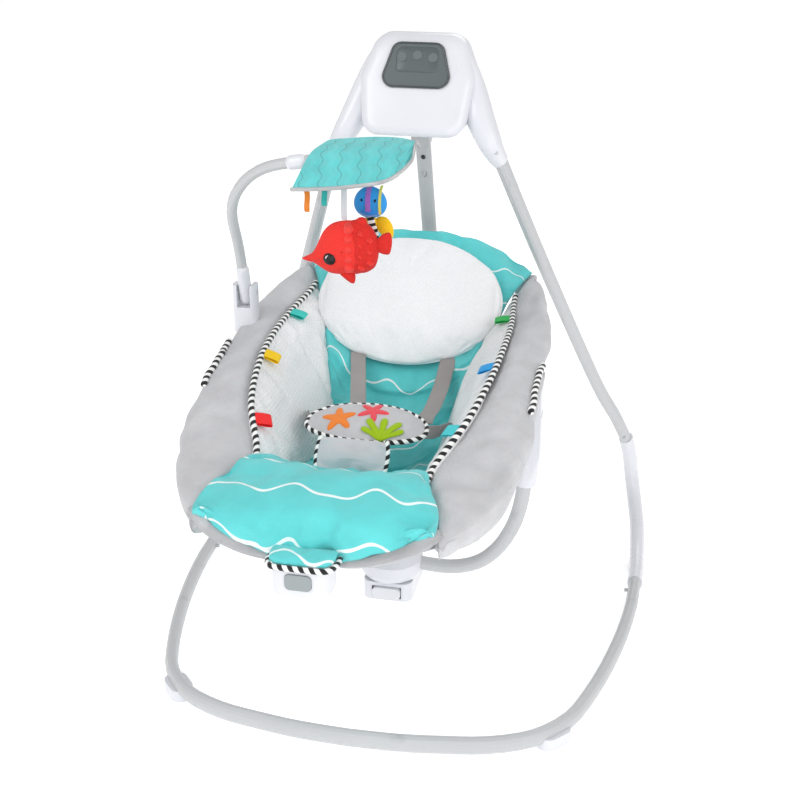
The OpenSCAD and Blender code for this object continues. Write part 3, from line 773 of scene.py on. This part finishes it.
def clear_of_bracket(points):
    """Presses the right grey side in where the hoop's bracket stands beside it."""
    x, y, z = points.T
    beside = np.clip(1 - (np.abs(y - 0.026) - 0.032) / 0.05, 0, 1)
    below = np.clip((0.506 - z) / 0.014, 0, 1)
    return np.c_[np.minimum(x, 0.188 + 0.05 * (1 - beside * below)), y, z]


def clear_of_rim(points, normals, gap=0.003, step=0.0025):
    """Moves the points that the seat's steel rim would show through out along their normals."""
    tree = surface(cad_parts["seat_rim"])
    points = points.copy()
    for i, normal in enumerate(normals):
        for _ in range(5):
            near, out, _, far = tree.find_nearest(Vector(points[i]))
            if (Vector(points[i]) - near).dot(out) > 0 and far > gap:
                break
            points[i] += normal * step
    return points


def make_bolster(side, label):
    """A grey padded side, closed all round, with its sharp corners rounded off."""
    rows, sides = 81, 40
    rings = bolster_rings(rows, sides) * [side, 1, 1]
    obj = ring_mesh("grey_side_" + label, rings, GREY_CLOTH, flip=side > 0, closed=True)
    number = np.arange(rows * sides).reshape(rows, sides)
    held = np.concatenate([number[:, [0, 5, 35]].ravel(), number[0], number[-1]])
    swell(obj, held, pressure=2.0, slack=0.035, cap=0.009)
    rings = vertices(obj).reshape(rows, sides, 3)
    for _ in range(2):
        rings = rings / 2 + (np.roll(rings, 1, axis=1) + np.roll(rings, -1, axis=1)) / 4
    normals = vertices(obj, "normal")
    points = rings.reshape(-1, 3)
    points = points + normals * creases(points, 0.0045, 0.075, 3.0 * side)
    points = clear_of_rim(points, normals)
    move_to(obj, clear_of_bracket(points * [side, 1, 1]) * [side, 1, 1])
    ride(subdivided(obj), "seat", "grey_fabric", "bolster_" + label)


def make_side_piping(side, label):
    piping("inner_piping_" + label, spline(PIPING, np.linspace(1.85, 7.05, 100)) * [side, 1, 1])
    outer = (spline(OUTER, np.linspace(3.5, 4.8, 36)) + mm([0, 0, 6])) * [side, 1, 1]
    tree = surface(bpy.data.objects["grey_side_" + label])
    for i, place in enumerate(outer):
        near, out = tree.find_nearest(Vector(place))[:2]
        outer[i] = near + out * 0.003
    piping("outer_piping_" + label, outer)


def ellipse_grid(count, wide, tall):
    """A square grid pressed into an ellipse, as (x, y) in metres."""
    u, v = np.meshgrid(np.linspace(-1, 1, count), np.linspace(-1, 1, count))
    return np.stack([wide * u * np.sqrt(1 - v ** 2 / 2),
                     tall * v * np.sqrt(1 - u ** 2 / 2)], axis=-1)


PILLOW_AT, PILLOW_TILT = (0, 0.154, 0.524), math.radians(47)
PILLOW_WIDE, PILLOW_TALL = 0.141, 0.102


def make_pillow():
    """The round head pillow, with a welt round its edge."""
    plan = ellipse_grid(57, PILLOW_WIDE, PILLOW_TALL)
    edge = np.hypot(plan[..., 0] / PILLOW_WIDE, plan[..., 1] / PILLOW_TALL)
    flat = np.concatenate([plan, (0.010 - 0.012 * edge ** 6)[..., None]], axis=-1)
    pad("head_pillow_cover", placed(flat, PILLOW_AT, PILLOW_TILT), PILLOW, "pillow_fabric",
        "head_pillow", puff=0.015, reach=0.035, back=0.012, pressure=3.5, cap=0.012,
        creased=(0.003, 0.05, 8.2))
    welt = ellipse(0, 0, PILLOW_WIDE, PILLOW_TALL, 120)
    welt = np.c_[np.concatenate([welt, welt[:1]]), np.full(121, -0.001)]
    ride(tube("pillow_welt", placed(welt, PILLOW_AT, PILLOW_TILT), 0.0022, PILLOW, sides=8,
              up=(0, -0.7, 0.7), round_ends=False), "seat", "pillow_fabric")


# ---------------------------------------- seat: harness and trim
HARNESS_AT, HARNESS_TILT = (0, -0.132, 0.441), math.radians(16)
CROTCH_AT, CROTCH_TILT = (-0.003, -0.2014, 0.426), math.radians(55)
FELT_RINGS = ((0.02, 1.0), (0.4, 1.0), (0.75, 1.0), (0.94, 0.7), (1.0, 0.0))
FELT_HEIGHT = 0.0026
# Felt stars: name, size, turn, how plump, place, colour
STARS = (("orange", 0.0250, 0.5, 0.45, (-0.038, 0.000), "#f68a3c"),
         ("red", 0.0235, 1.2, 0.35, (0.006, 0.019), "#f25560"))
# Branches of the felt coral: lean from upright, length
BRANCHES = ((-1.30, 0.026), (-0.80, 0.028), (0.0, 0.023), (0.80, 0.028), (1.30, 0.026))
BRANCH_RADII = mm([7, 6.5, 5.4, 4.6, 4.6, 5.4, 5])
CORAL_ROOT = (0.026, -0.027)


def felt(name, code):
    return plush(name + "_felt", code, depth=0.0006, scale=700, sheen=0.3).material


def on_harness(flat, tree, lift=0.0):
    """Points (x, up) dropped onto the harness pad, and lifted off it."""
    out = Vector(leaning(HARNESS_TILT)[2])
    landed = []
    for p in placed(flat, HARNESS_AT, HARNESS_TILT):
        hit = tree.ray_cast(Vector(p) + out * 0.06, -out)[0]
        landed.append((hit if hit else Vector(p)) + out * lift)
    return np.array(landed)


def star(size, turn, plump):
    angle = circle(60)
    reach = size * (plump + (1 - plump) * ((1 + np.cos(5 * angle)) / 2) ** 1.5)
    return np.stack([reach * np.cos(angle + turn), reach * np.sin(angle + turn)], axis=1)


def make_harness():
    """The harness pad, with two stars and a piece of coral sewn onto it."""
    plan = ellipse_grid(41, 0.083, 0.037)
    plan[..., 0] *= 1 + 0.10 * np.clip(-plan[..., 1] / 0.037, 0, 1)
    plan[..., 1] *= np.where(plan[..., 1] > 0, 1.18, 0.92)
    cover = pad("harness_pad_cover", placed(plan, HARNESS_AT, HARNESS_TILT), GREY_CLOTH,
                "grey_fabric", "harness_pad", puff=0.008, back=0.006, slack=0.02, cap=0.005)
    edge = np.concatenate([plan[0, :], plan[1:, -1], plan[-1, -2::-1], plan[-2::-1, 0]])
    piping("harness_piping", spaced(placed(edge, HARNESS_AT, HARNESS_TILT), 0.004), 0.0034,
           round_ends=False)
    tree = surface(cover)
    out = leaning(HARNESS_TILT)[2]
    for name, size, turn, plump, at, code in STARS:
        outline = star(size, turn, plump) + at
        middle = outline.mean(axis=0)
        rings = np.array([on_harness(middle + (outline - middle) * scale, tree)
                          + out * FELT_HEIGHT * height for scale, height in FELT_RINGS])
        name = "starfish_" + name
        shape = ring_mesh(name, rings, felt(name, code))
        ride(subdivided(shape), "seat", "grey_fabric")
    lime = felt("coral", "#a4c61f")
    along = np.linspace(0, 1, 7)[:, None]
    for i, (lean, reach) in enumerate(BRANCHES):
        bend = np.array([math.sin(lean), math.cos(lean)]) * reach
        path = on_harness(CORAL_ROOT + along * bend + along ** 2 * [0, 0.004], tree, 0.0012)
        branch = tube("coral_branch_%d" % i, path, BRANCH_RADII, lime, flat=0.45,
                      up=(0, -0.28, 0.96))
        ride(subdivided(branch), "seat", "grey_fabric")


def make_crotch_pad():
    """The pad between the legs, piped along its two sides."""
    u, v = np.meshgrid(np.linspace(-1, 1, 37), np.linspace(-1, 1, 23))
    flat = np.stack([0.048 * u * (1 - 0.06 * v ** 2), 0.025 * v * (1 - 0.10 * u ** 4),
                     0.004 * np.abs(u) ** 3], axis=-1)
    pad("crotch_pad_cover", placed(flat, CROTCH_AT, CROTCH_TILT), SILVER, "grey_fabric",
        "crotch_pad", puff=0.007, reach=0.02, back=0.005, slack=0.04, cap=0.006)
    for edge, label in ((0, "left"), (-1, "right")):
        line = placed(flat[:, edge], CROTCH_AT, CROTCH_TILT)
        piping("crotch_piping_" + label, spaced(line, 0.004), 0.0032, up=(0, -0.8, 0.6))


def make_front_band():
    """The grey band under the foot rest, and the flap where the vibration unit comes out."""
    band = smooth(mm([[-148, -404, 434], [-122, -427, 425], [-84, -435, 412], [-48, -430, 402],
                      [-30, -411, 392], [0, -410, 391], [30, -411, 392], [48, -430, 402],
                      [84, -435, 412], [122, -427, 425], [148, -404, 434]]))
    ride(tube("front_band", band, 0.009, GREY_CLOTH, flat=0.8, sides=18), "seat", "grey_fabric")
    u, v = np.meshgrid(np.linspace(-1, 1, 19), np.linspace(0, 1, 11))
    flap = np.stack([0.041 * u * (1 - 0.2 * v ** 6), -0.436 - 0.038 * v * (1 - 0.12 * u ** 6),
                     0.4185 - 0.003 * v], axis=-1)
    pad("unit_flap", flap[::-1], TEAL_FOOT, "teal_fabric", fill=0.5, puff=0.006, reach=0.012,
        back=0.003, cap=0.004)
    lip = mm([[-41, -438, 410], [-40, -460, 411], [-31, -474, 412], [0, -477, 413],
              [31, -474, 412], [40, -460, 411], [41, -438, 410]])
    piping("unit_piping", smooth(lip, 6), 0.0036)


# Shoulder straps: how far across the seat each one is at y = 0, and its slant along y
STRAPS = {1: (73, 0.0), -1: (-44, -0.24)}


def make_straps(side, label):
    """The shoulder and waist straps of one side, of flat webbing."""
    rows = np.array([[-98, 437], [-80, 440], [-44, 434], [0, 435], [40, 441], [80, 456], [98, 461]])
    start, slant = STRAPS[side]
    shoulder = mm(np.c_[start + slant * rows[:, 0], rows])
    waist = mm([[72, -132, 436], [82, -124, 436], [90, -102, 427], [98, -72, 419],
                [102, -56, 410]]) * [side, 1, 1]
    ride(ribbon("shoulder_strap_" + label, smooth(shoulder, 6), 0.024, 0.0018, WEBBING),
         "seat", "strap", "harness_straps")
    ride(ribbon("waist_strap_" + label, smooth(waist, 6), 0.022, 0.0018, WEBBING,
                across=(0.35 * side, 0.3, 0.85)), "seat", "strap")


# Ribbon tags sewn into the piping: name, side, station on the piping rail, colour
TAGS = (("teal", -1, 5.85, "#35cfc4"), ("yellow", -1, 4.25, "#ffd200"), ("red", -1, 2.7, "#fb2a2a"),
        ("green", 1, 6.2, "#18b850"), ("blue", 1, 4.4, "#1fa4ec"), ("aqua", 1, 2.8, "#4fd6dc"))
TAG_LOOP = mm([[0, 1.4], [9, 2.8], [17, 3], [22, 1.8], [23.5, 0], [22, -1.4], [17, -1.8],
               [9, -1.2], [0, -1]])


def make_tags():
    """Satin loops that stick out of the piping over the plush sides."""
    for name, side, station, code in TAGS:
        at, ahead = (spline(PIPING, [station + d])[0] * [side, 1, 1] for d in (0, 0.1))
        edge = spline(EDGE, [station - 2])[0] * [side, 1, 1]
        run = unit(ahead - at)
        inward = edge - at
        inward = unit(inward - run * inward.dot(run))
        out = np.cross(run, inward) * side
        out = out if out[2] > 0 else -out
        line = at + out * 0.003 + smooth(TAG_LOOP, 3) @ np.stack([inward * 0.8 + out * 0.6, out])
        look = satin("tag_satin_" + name, code, depth=0.0001, sheen=0.0, mottled=0.01)
        look.roughness(0.45)
        ride(ribbon("tag_" + name, line, 0.021, 0.0009, look.material, across=run),
             "seat", "teal_fabric")


# ---------------------------------------- head
HEAD_FRONT, HEAD_BACK, FACE_Z, HEAD_TILT = 0.155, 0.265, 0.775, math.radians(28)
# Circles that the head's outline runs round, seen from the front: x, z, radius
HEAD_CIRCLES = mm([[51, 801, 28], [57, 850, 28], [43, 880, 31]])
FACE_ROUND, BACK_ROUND, HEAD_WALL = 0.017, 0.010, 0.003
# The rings of the face and the back shrink towards this height
HEAD_MIDDLE = 0.87
ARM_SLOT_HALF, ARM_SLOT_FRONT, ARM_SLOT_TOP = 0.025, 0.221, 0.79


def head_ring(inset, depth, scale=1.0):
    """One ring of the head, inset from its outline. depth gives y for each height z."""
    flat = outline_round(HEAD_CIRCLES, -inset, 132, -math.pi / 2, 960)
    flat = (flat - [0, HEAD_MIDDLE]) * scale + [0, HEAD_MIDDLE]
    return np.c_[flat[:, 0], depth(flat[:, 1]), flat[:, 1]]


def face_y(z):
    return HEAD_FRONT + (z - FACE_Z) * math.tan(HEAD_TILT)


def make_head():
    """The housing: a sloping face with a rolled edge, a deep side and a slot for the arm."""
    rings = [head_ring(FACE_ROUND, lambda z: face_y(z) - 0.0012 * (1 - scale ** 2), scale)
             for scale in (0.03, 0.3, 0.55, 0.78, 0.92)]
    for angle in np.linspace(0, math.pi / 2, 8):
        rolled = FACE_ROUND * (1 - math.cos(angle))
        rings.append(head_ring(FACE_ROUND * (1 - math.sin(angle)), lambda z: face_y(z) + rolled))
    front, back = rings[-1], HEAD_BACK - BACK_ROUND
    for share in np.linspace(0.12, 0.94, 8):
        rings.append(front + (back - front[:, 1:2]) * share * [0, 1, 0])
    for angle in np.linspace(0, math.pi / 2, 6):
        rings.append(head_ring(BACK_ROUND * (1 - math.cos(angle)),
                               lambda z: 0 * z + back + BACK_ROUND * math.sin(angle)))
    centre = np.array([0, HEAD_BACK, HEAD_MIDDLE])
    for scale in (0.85, 0.6, 0.3, 0.03):
        rings.append((rings[-1] - centre) * [scale, 1, scale] + centre)
    faces, _ = grid_faces(len(rings), len(front), wrap=True)
    points = np.concatenate(rings)
    middle = np.array([points[list(face)].mean(axis=0) for face in faces])
    slot = ((abs(middle[:, 0]) < ARM_SLOT_HALF) & (middle[:, 1] > ARM_SLOT_FRONT)
            & (middle[:, 2] < ARM_SLOT_TOP))
    faces = [face[::-1] for face, cut in zip(faces, slot) if not cut]
    head = new_mesh("head_housing", points, faces, WHITE)
    thickened(head, HEAD_WALL)
    ride(head, "frame", "white_plastic", "head_front_shell", "head_rear_shell")


# The fins over the leg ends: x, y, z of the middle, half width and half depth
FIN = mm([[42, 236, 880, 27, 16], [59, 232, 862, 26, 19], [78, 224, 829, 23.5, 22],
          [96, 208, 792, 20.5, 23], [111, 197, 764, 17.5, 21], [120, 198, 747, 14.6, 17.2],
          [126, 203, 737, 12.8, 15.2]])
# The fin's rounded lower end: the size of each ring, and how far out it is
FIN_END = ((0.985, 0.0012), (0.93, 0.0022), (0.5, 0.0024))


def make_fin(side, label):
    """The fin that runs from the head's shoulder down over the end of the leg."""
    row = spline(FIN, np.linspace(0, len(FIN) - 1, 31))
    ahead = unit(np.gradient(row[:, :3], axis=0))
    across = unit(np.cross(ahead, [0, 1, 0]))
    deep = np.cross(across, ahead)
    turn = circle(32)
    wide, tall = (np.sign(w) * np.abs(w) ** 0.86 for w in (np.cos(turn), np.sin(turn)))
    rings = (row[:, None, :3] + across[:, None] * (row[:, 3:4] * wide)[..., None]
             + deep[:, None] * (row[:, 4:5] * tall)[..., None])
    end = rings[-1].mean(axis=0)
    rings = np.concatenate([rings, [end + (rings[-1] - end) * size + ahead[-1] * out
                                    for size, out in FIN_END]])
    fin = ring_mesh("leg_fin_" + label, rings * [side, 1, 1], WHITE, flip=side < 0)
    ride(subdivided(fin), "frame", "white_plastic", "leg_cover_" + label)


def make_tube_ends():
    """The open end of the locking hole above the arm's bolt, and the moulded end of the
    toy bar, which turns between the socket's two cheeks."""
    hole = mm([[0, 258.5, 722.4], [0, 255.6, 723.5]])
    ride(tube("arm_hole", hole, 0.0034, BLACK, sides=20), "swing_arm", "steel")
    path = smooth(mm([[-218, 28.4, 555], [-218, 22.4, 578], [-218, 16.6, 602]]), 4)
    ride(tube("bar_foot_sleeve", path, 0.0094, WHITE, sides=24), "toy_bar", "white_plastic")


FACE_AT, FACE_TILT = (0, HEAD_FRONT, FACE_Z), math.pi / 2 - HEAD_TILT
# Circles round which the panel's lip and its touch area run: x, up the face, radius
LIP_CIRCLES = mm([[33, 90, 16], [25, 126, 14]])
TOUCH_CIRCLES = mm([[25, 102, 6], [21, 124, 10]])
# Rings of the touch area: size, and how far out of the control face
TOUCH_RINGS = ((0.02, 0.0042), (0.5, 0.0042), (0.94, 0.0041), (0.985, 0.0036), (1.0, 0.0028))


def on_face(flat, out):
    """Points (x, up) on the control face, this far out of it."""
    return placed(np.c_[flat, np.full(len(flat), out)], FACE_AT, FACE_TILT)


def make_panel_trim():
    """The glossy lip round the dark panel, and its raised touch area with a rolled edge."""
    lip = on_face(outline_round(LIP_CIRCLES, 0.0, 96), 0.0028)
    ride(tube("panel_lip", np.concatenate([lip, lip[:1]]), 0.0017, GLOSS, sides=10,
              up=(0, -0.88, 0.47), round_ends=False), "frame", "dark_panel")
    shape = outline_round(TOUCH_CIRCLES, 0.0, 96)
    middle = shape.mean(axis=0)
    rings = np.array([on_face(middle + (shape - middle) * size, out) for size, out in TOUCH_RINGS])
    ride(ring_mesh("touch_area", rings, TOUCH), "frame", "dark_panel")


# ---------------------------------------- canopy
# The canopy's front edge from the baby's right round to its back edge, and the back edge
CANOPY_FRONT = mm([[-93, -141, 768], [-56, -143, 771], [-15, -143, 776], [28, -139, 784],
                   [48, -124, 795], [56, -98, 802]])
CANOPY_BACK = mm([[-82, -8, 803], [-52, -6, 806], [-20, -5, 809], [12, -6, 810],
                  [36, -14, 809], [52, -36, 807]])
CANOPY_ROWS, CANOPY_COLUMNS = 49, 73
# Ribbons under it: name, colour, top end; and how far each one falls
CANOPY_RIBBONS = (("orange", "#f28a2e", (-0.079, -0.126, 0.769)),
                  ("teal", "#35b9b4", (-0.058, -0.118, 0.776)))
RIBBON_FALL = np.array([0.004, -0.003, -0.034])


def make_canopy():
    """A sheet stretched over the toy bar, with a bound edge and two ribbons."""
    at = np.linspace(0, 5, CANOPY_COLUMNS)
    front, back = spline(CANOPY_FRONT, at), spline(CANOPY_BACK, at)
    share = np.linspace(0, 1, CANOPY_ROWS)[:, None]
    grid = front + (back - front) * share[..., None]
    over_bar = np.exp(-((grid[..., 1] + 0.074) / 0.035) ** 2)
    grid[..., 2] += 0.010 * np.sin(np.pi * share) + 0.004 * over_bar
    grid[..., 2] -= 0.006 * np.exp(-((grid[..., 0] + 0.094) / 0.012) ** 2) * share
    canopy = sheet_mesh("canopy_cover", grid, quilted(), 0.0035)
    ride(canopy, "toy_bar", "teal_fabric", "canopy")
    edge = spaced(np.concatenate([grid[0], grid[1:, -1]]), 0.005) - mm([0, 0, 1.5])
    ride(tube("canopy_binding", edge, 0.002, BINDING, sides=10, flat=1.3), "toy_bar",
         "teal_fabric")
    cap = mm([[-112, -74, 785], [-107, -74.4, 786], [-102, -74.6, 786.8], [-97, -74.6, 787.6]])
    collar = tube("bar_end_collar", smooth(cap, 4), 0.0098, WHITE, sides=24)
    ride(subdivided(collar), "toy_bar", "white_plastic")
    down = np.linspace(0, 1, 9)[:, None]
    for name, code, top in CANOPY_RIBBONS:
        path = top + down * RIBBON_FALL + np.sin(down * 5) * [0.0012, 0.001, 0]
        ride(ribbon("canopy_ribbon_" + name, path, 0.0075, 0.0008,
                    satin("canopy_satin_" + name, code).material), "toy_bar", "teal_fabric")


# ---------------------------------------- hanging toys
# The size of each ring of a toy shape, from its middle to its outline
TOY_RINGS = np.array([0.02, 0.3, 0.55, 0.75, 0.9, 0.98, 1.0])


def stuffed(name, outline, depth, y, material, round_to=0.55):
    """A soft toy shape, depth thick at its middle. outline is (x, z), seen from the front."""
    outline = evenly(outline, 72)
    middle = outline.mean(axis=0)
    rise = depth / 2 * (1 - TOY_RINGS ** 2.2) ** round_to
    sizes = np.concatenate([TOY_RINGS, TOY_RINGS[-2::-1]])
    depths = np.concatenate([y - rise, y + rise[-2::-1]])
    flat = middle + (outline - middle) * sizes[:, None, None]
    rings = np.insert(flat, 1, depths[:, None], axis=2)
    return subdivided(ring_mesh(name, rings, material, flip=True))


# One lobe of the fish's gill and one of its scales, as (x, z) in millimetres
GILL = np.array([[-7, 7], [0, 7], [7, 0], [0, -7], [-7, -7], [-10, 0]])
SCALE = np.array([[-4, 6], [2, 5], [6, -1], [2, -4], [-2, -1], [-5, -2]])
# The planes that the two toys hang in
FISH_Y, BUBBLE_Y = -0.126, -0.072


def make_fish():
    """A plush fish: a smooth head with one eye, a scalloped gill, a scaly back and fins."""
    red = plush("fish_red", "#ea3a34", depth=0.0006, sheen=0.15).material
    dark = plush("fish_dark_red", "#d62f2a", scale=260, sheen=0.15).material
    coral = plush("fish_gill", "#ee4741", depth=0.0005, sheen=0.15).material
    shine = moulded("eye_white", "#f6f6f6", rough=0.3)

    def part(name, depth, material, outline, *nodes, steps=6, **how):
        shape = stuffed("fish_" + name, curve_loop(outline, steps), depth, FISH_Y, material, **how)
        ride(shape, "fish_toy", "red_plush", *nodes)

    part("body", 0.030, red,
         [[-82, 672], [-72, 680], [-65, 692], [-57, 709], [-45, 721], [-28, 726], [-8, 726],
          [4, 721], [12, 711], [16, 698], [16, 681], [12, 667], [2, 659], [-14, 656], [-32, 653],
          [-48, 654], [-60, 660], [-71, 667]], "fish_toy")
    part("scales", 0.0318, dark,
         [[-19, 726.5], [-8, 726.5], [5, 721.5], [13, 711], [17, 698], [17, 681], [12.5, 666],
          [2, 658], [-7, 656], [-15, 654.5], [-18, 665], [-21, 681], [-18, 700], [-21, 714]])
    for i, z in enumerate((717, 704, 691, 678, 665)):
        part("gill_%d" % i, 0.0350, coral, GILL + [-18, z], steps=5)
    for row, (x, top) in enumerate(((-4, 711), (7, 703))):
        for k in range(4 - row):
            part("scale_%d_%d" % (row, k), 0.0350 - 0.0016 * row, red, SCALE + [x, top - 15 * k],
                 steps=5)
    part("tail", 0.013, dark,
         [[13, 700], [22, 710], [32, 713], [35, 703], [34, 692], [31, 684], [22, 684], [13, 689]])
    part("top_fin", 0.010, dark, [[-16, 724], [-8, 731], [0, 730], [2, 721], [-6, 719]])
    part("low_fin", 0.012, dark, [[-36, 656], [-28, 647], [-17, 641], [-14, 650], [-18, 659]])
    part("nose", 0.012, red, [[-86, 671.5], [-78, 676], [-69, 680], [-68, 668], [-78, 668.5]])
    part("eye", 0.0360, EYE_BLACK,
         [[-56, 677], [-53, 684.5], [-45, 687.5], [-37, 684.5], [-34, 677], [-37, 669.5],
          [-45, 666.5], [-53, 669.5]], round_to=0.35)
    part("eye_shine", 0.0375, shine,
         [[-51.5, 678.5], [-49, 682.5], [-45, 683.5], [-47, 681], [-48, 678], [-50, 676]],
         round_to=0.35)
    cord = mm([[-28, -126, 726], [-28.5, -126, 740], [-28, -126, 757], [-28, -126, 775]])
    ride(ribbon("fish_ribbon", smooth(cord, 4), 0.008, 0.001, SILVER), "fish_toy", "strap")


def make_bubble():
    """A round blue toy with bright ribbons, and yellow fins under it."""
    body, slot = "bubble_toy", "blue_plush"
    x, y, z = -0.006, BUBBLE_Y, 0.737

    def part(name, outline, depth, material, *nodes, back=0.0):
        ride(stuffed("bubble_" + name, outline, depth, y + back, material), body, slot, *nodes)

    outline = ellipse(x, z, 0.0225, 0.0215)
    outline[:, 0] -= (outline[:, 0] - x) * 0.08 * np.sin(circle(len(outline)))
    part("body", outline, 0.030, plush("bubble_blue", "#3a9ce8", depth=0.0006, sheen=0.2).material,
         "bubble_toy")
    part("belly", ellipse(x, 0.7265, 0.0165, 0.0085), 0.0325,
         plush("bubble_deep_blue", "#3488dc", depth=0.0006).material)
    angle = np.linspace(-0.25, 2.2, 14)
    for name, code, across, wide in (("purple", "#b56fd0", x, 0.007),
                                     ("yellow", "#ffe96a", 0.010, 0.004)):
        path = np.c_[np.full(14, across), y - 0.0165 * np.sin(angle), z + 0.0222 * np.cos(angle)]
        ride(ribbon("bubble_ribbon_" + name, path, wide, 0.0008,
                    satin(name + "_satin", code).material), body, slot)
    gold = plush("bubble_gold", "#ffc928", depth=0.0006, sheen=0.1).material
    for name, at, lean, back in (("left", -6, -2, 0.0), ("right", 9, 10, 0.002)):
        fin = [[at - 7, 716], [at + 6, 717], [at + 10 + lean * 0.5, 704],
               [at + 5 + lean * 0.9, 689], [at - 6 + lean * 0.9, 690], [at - 9, 704]]
        part("fin_" + name, curve_loop(fin), 0.012, gold, back=back)
    tape = mm([[-4, -79.5, 716], [-2, -80, 708], [1, -80, 699], [2, -79.5, 690]])
    ride(tube("bubble_tape", smooth(tape, 5), 0.005, striped("fin_stripes", 0.0085, 0.0),
              flat=0.2, up=(0, -1, 0), sides=14), body, slot)
    for k, across in enumerate((-0.015, 0.003)):
        part("eye_%d" % k, ellipse(across, 0.7425, 0.0026, 0.0032), 0.0325, EYE_BLACK)
    cord = mm([[-6, -72, 757], [-6, -72, 770], [-6, -72, 788]])
    ride(ribbon("bubble_cord", smooth(cord, 5), 0.007, 0.001, SILVER), body, "strap")


# ---------------------------------------- the whole swing
add_camera()
add_stage()
finish_nodes()
make_head()
both(make_fin)
make_tube_ends()
make_panel_trim()
make_liner()
make_foot_rest()
both(make_side)
both(make_bolster)
both(make_side_piping)
make_pillow()
make_harness()
make_crotch_pad()
make_front_band()
both(make_straps)
make_tags()
make_canopy()
make_fish()
make_bubble()
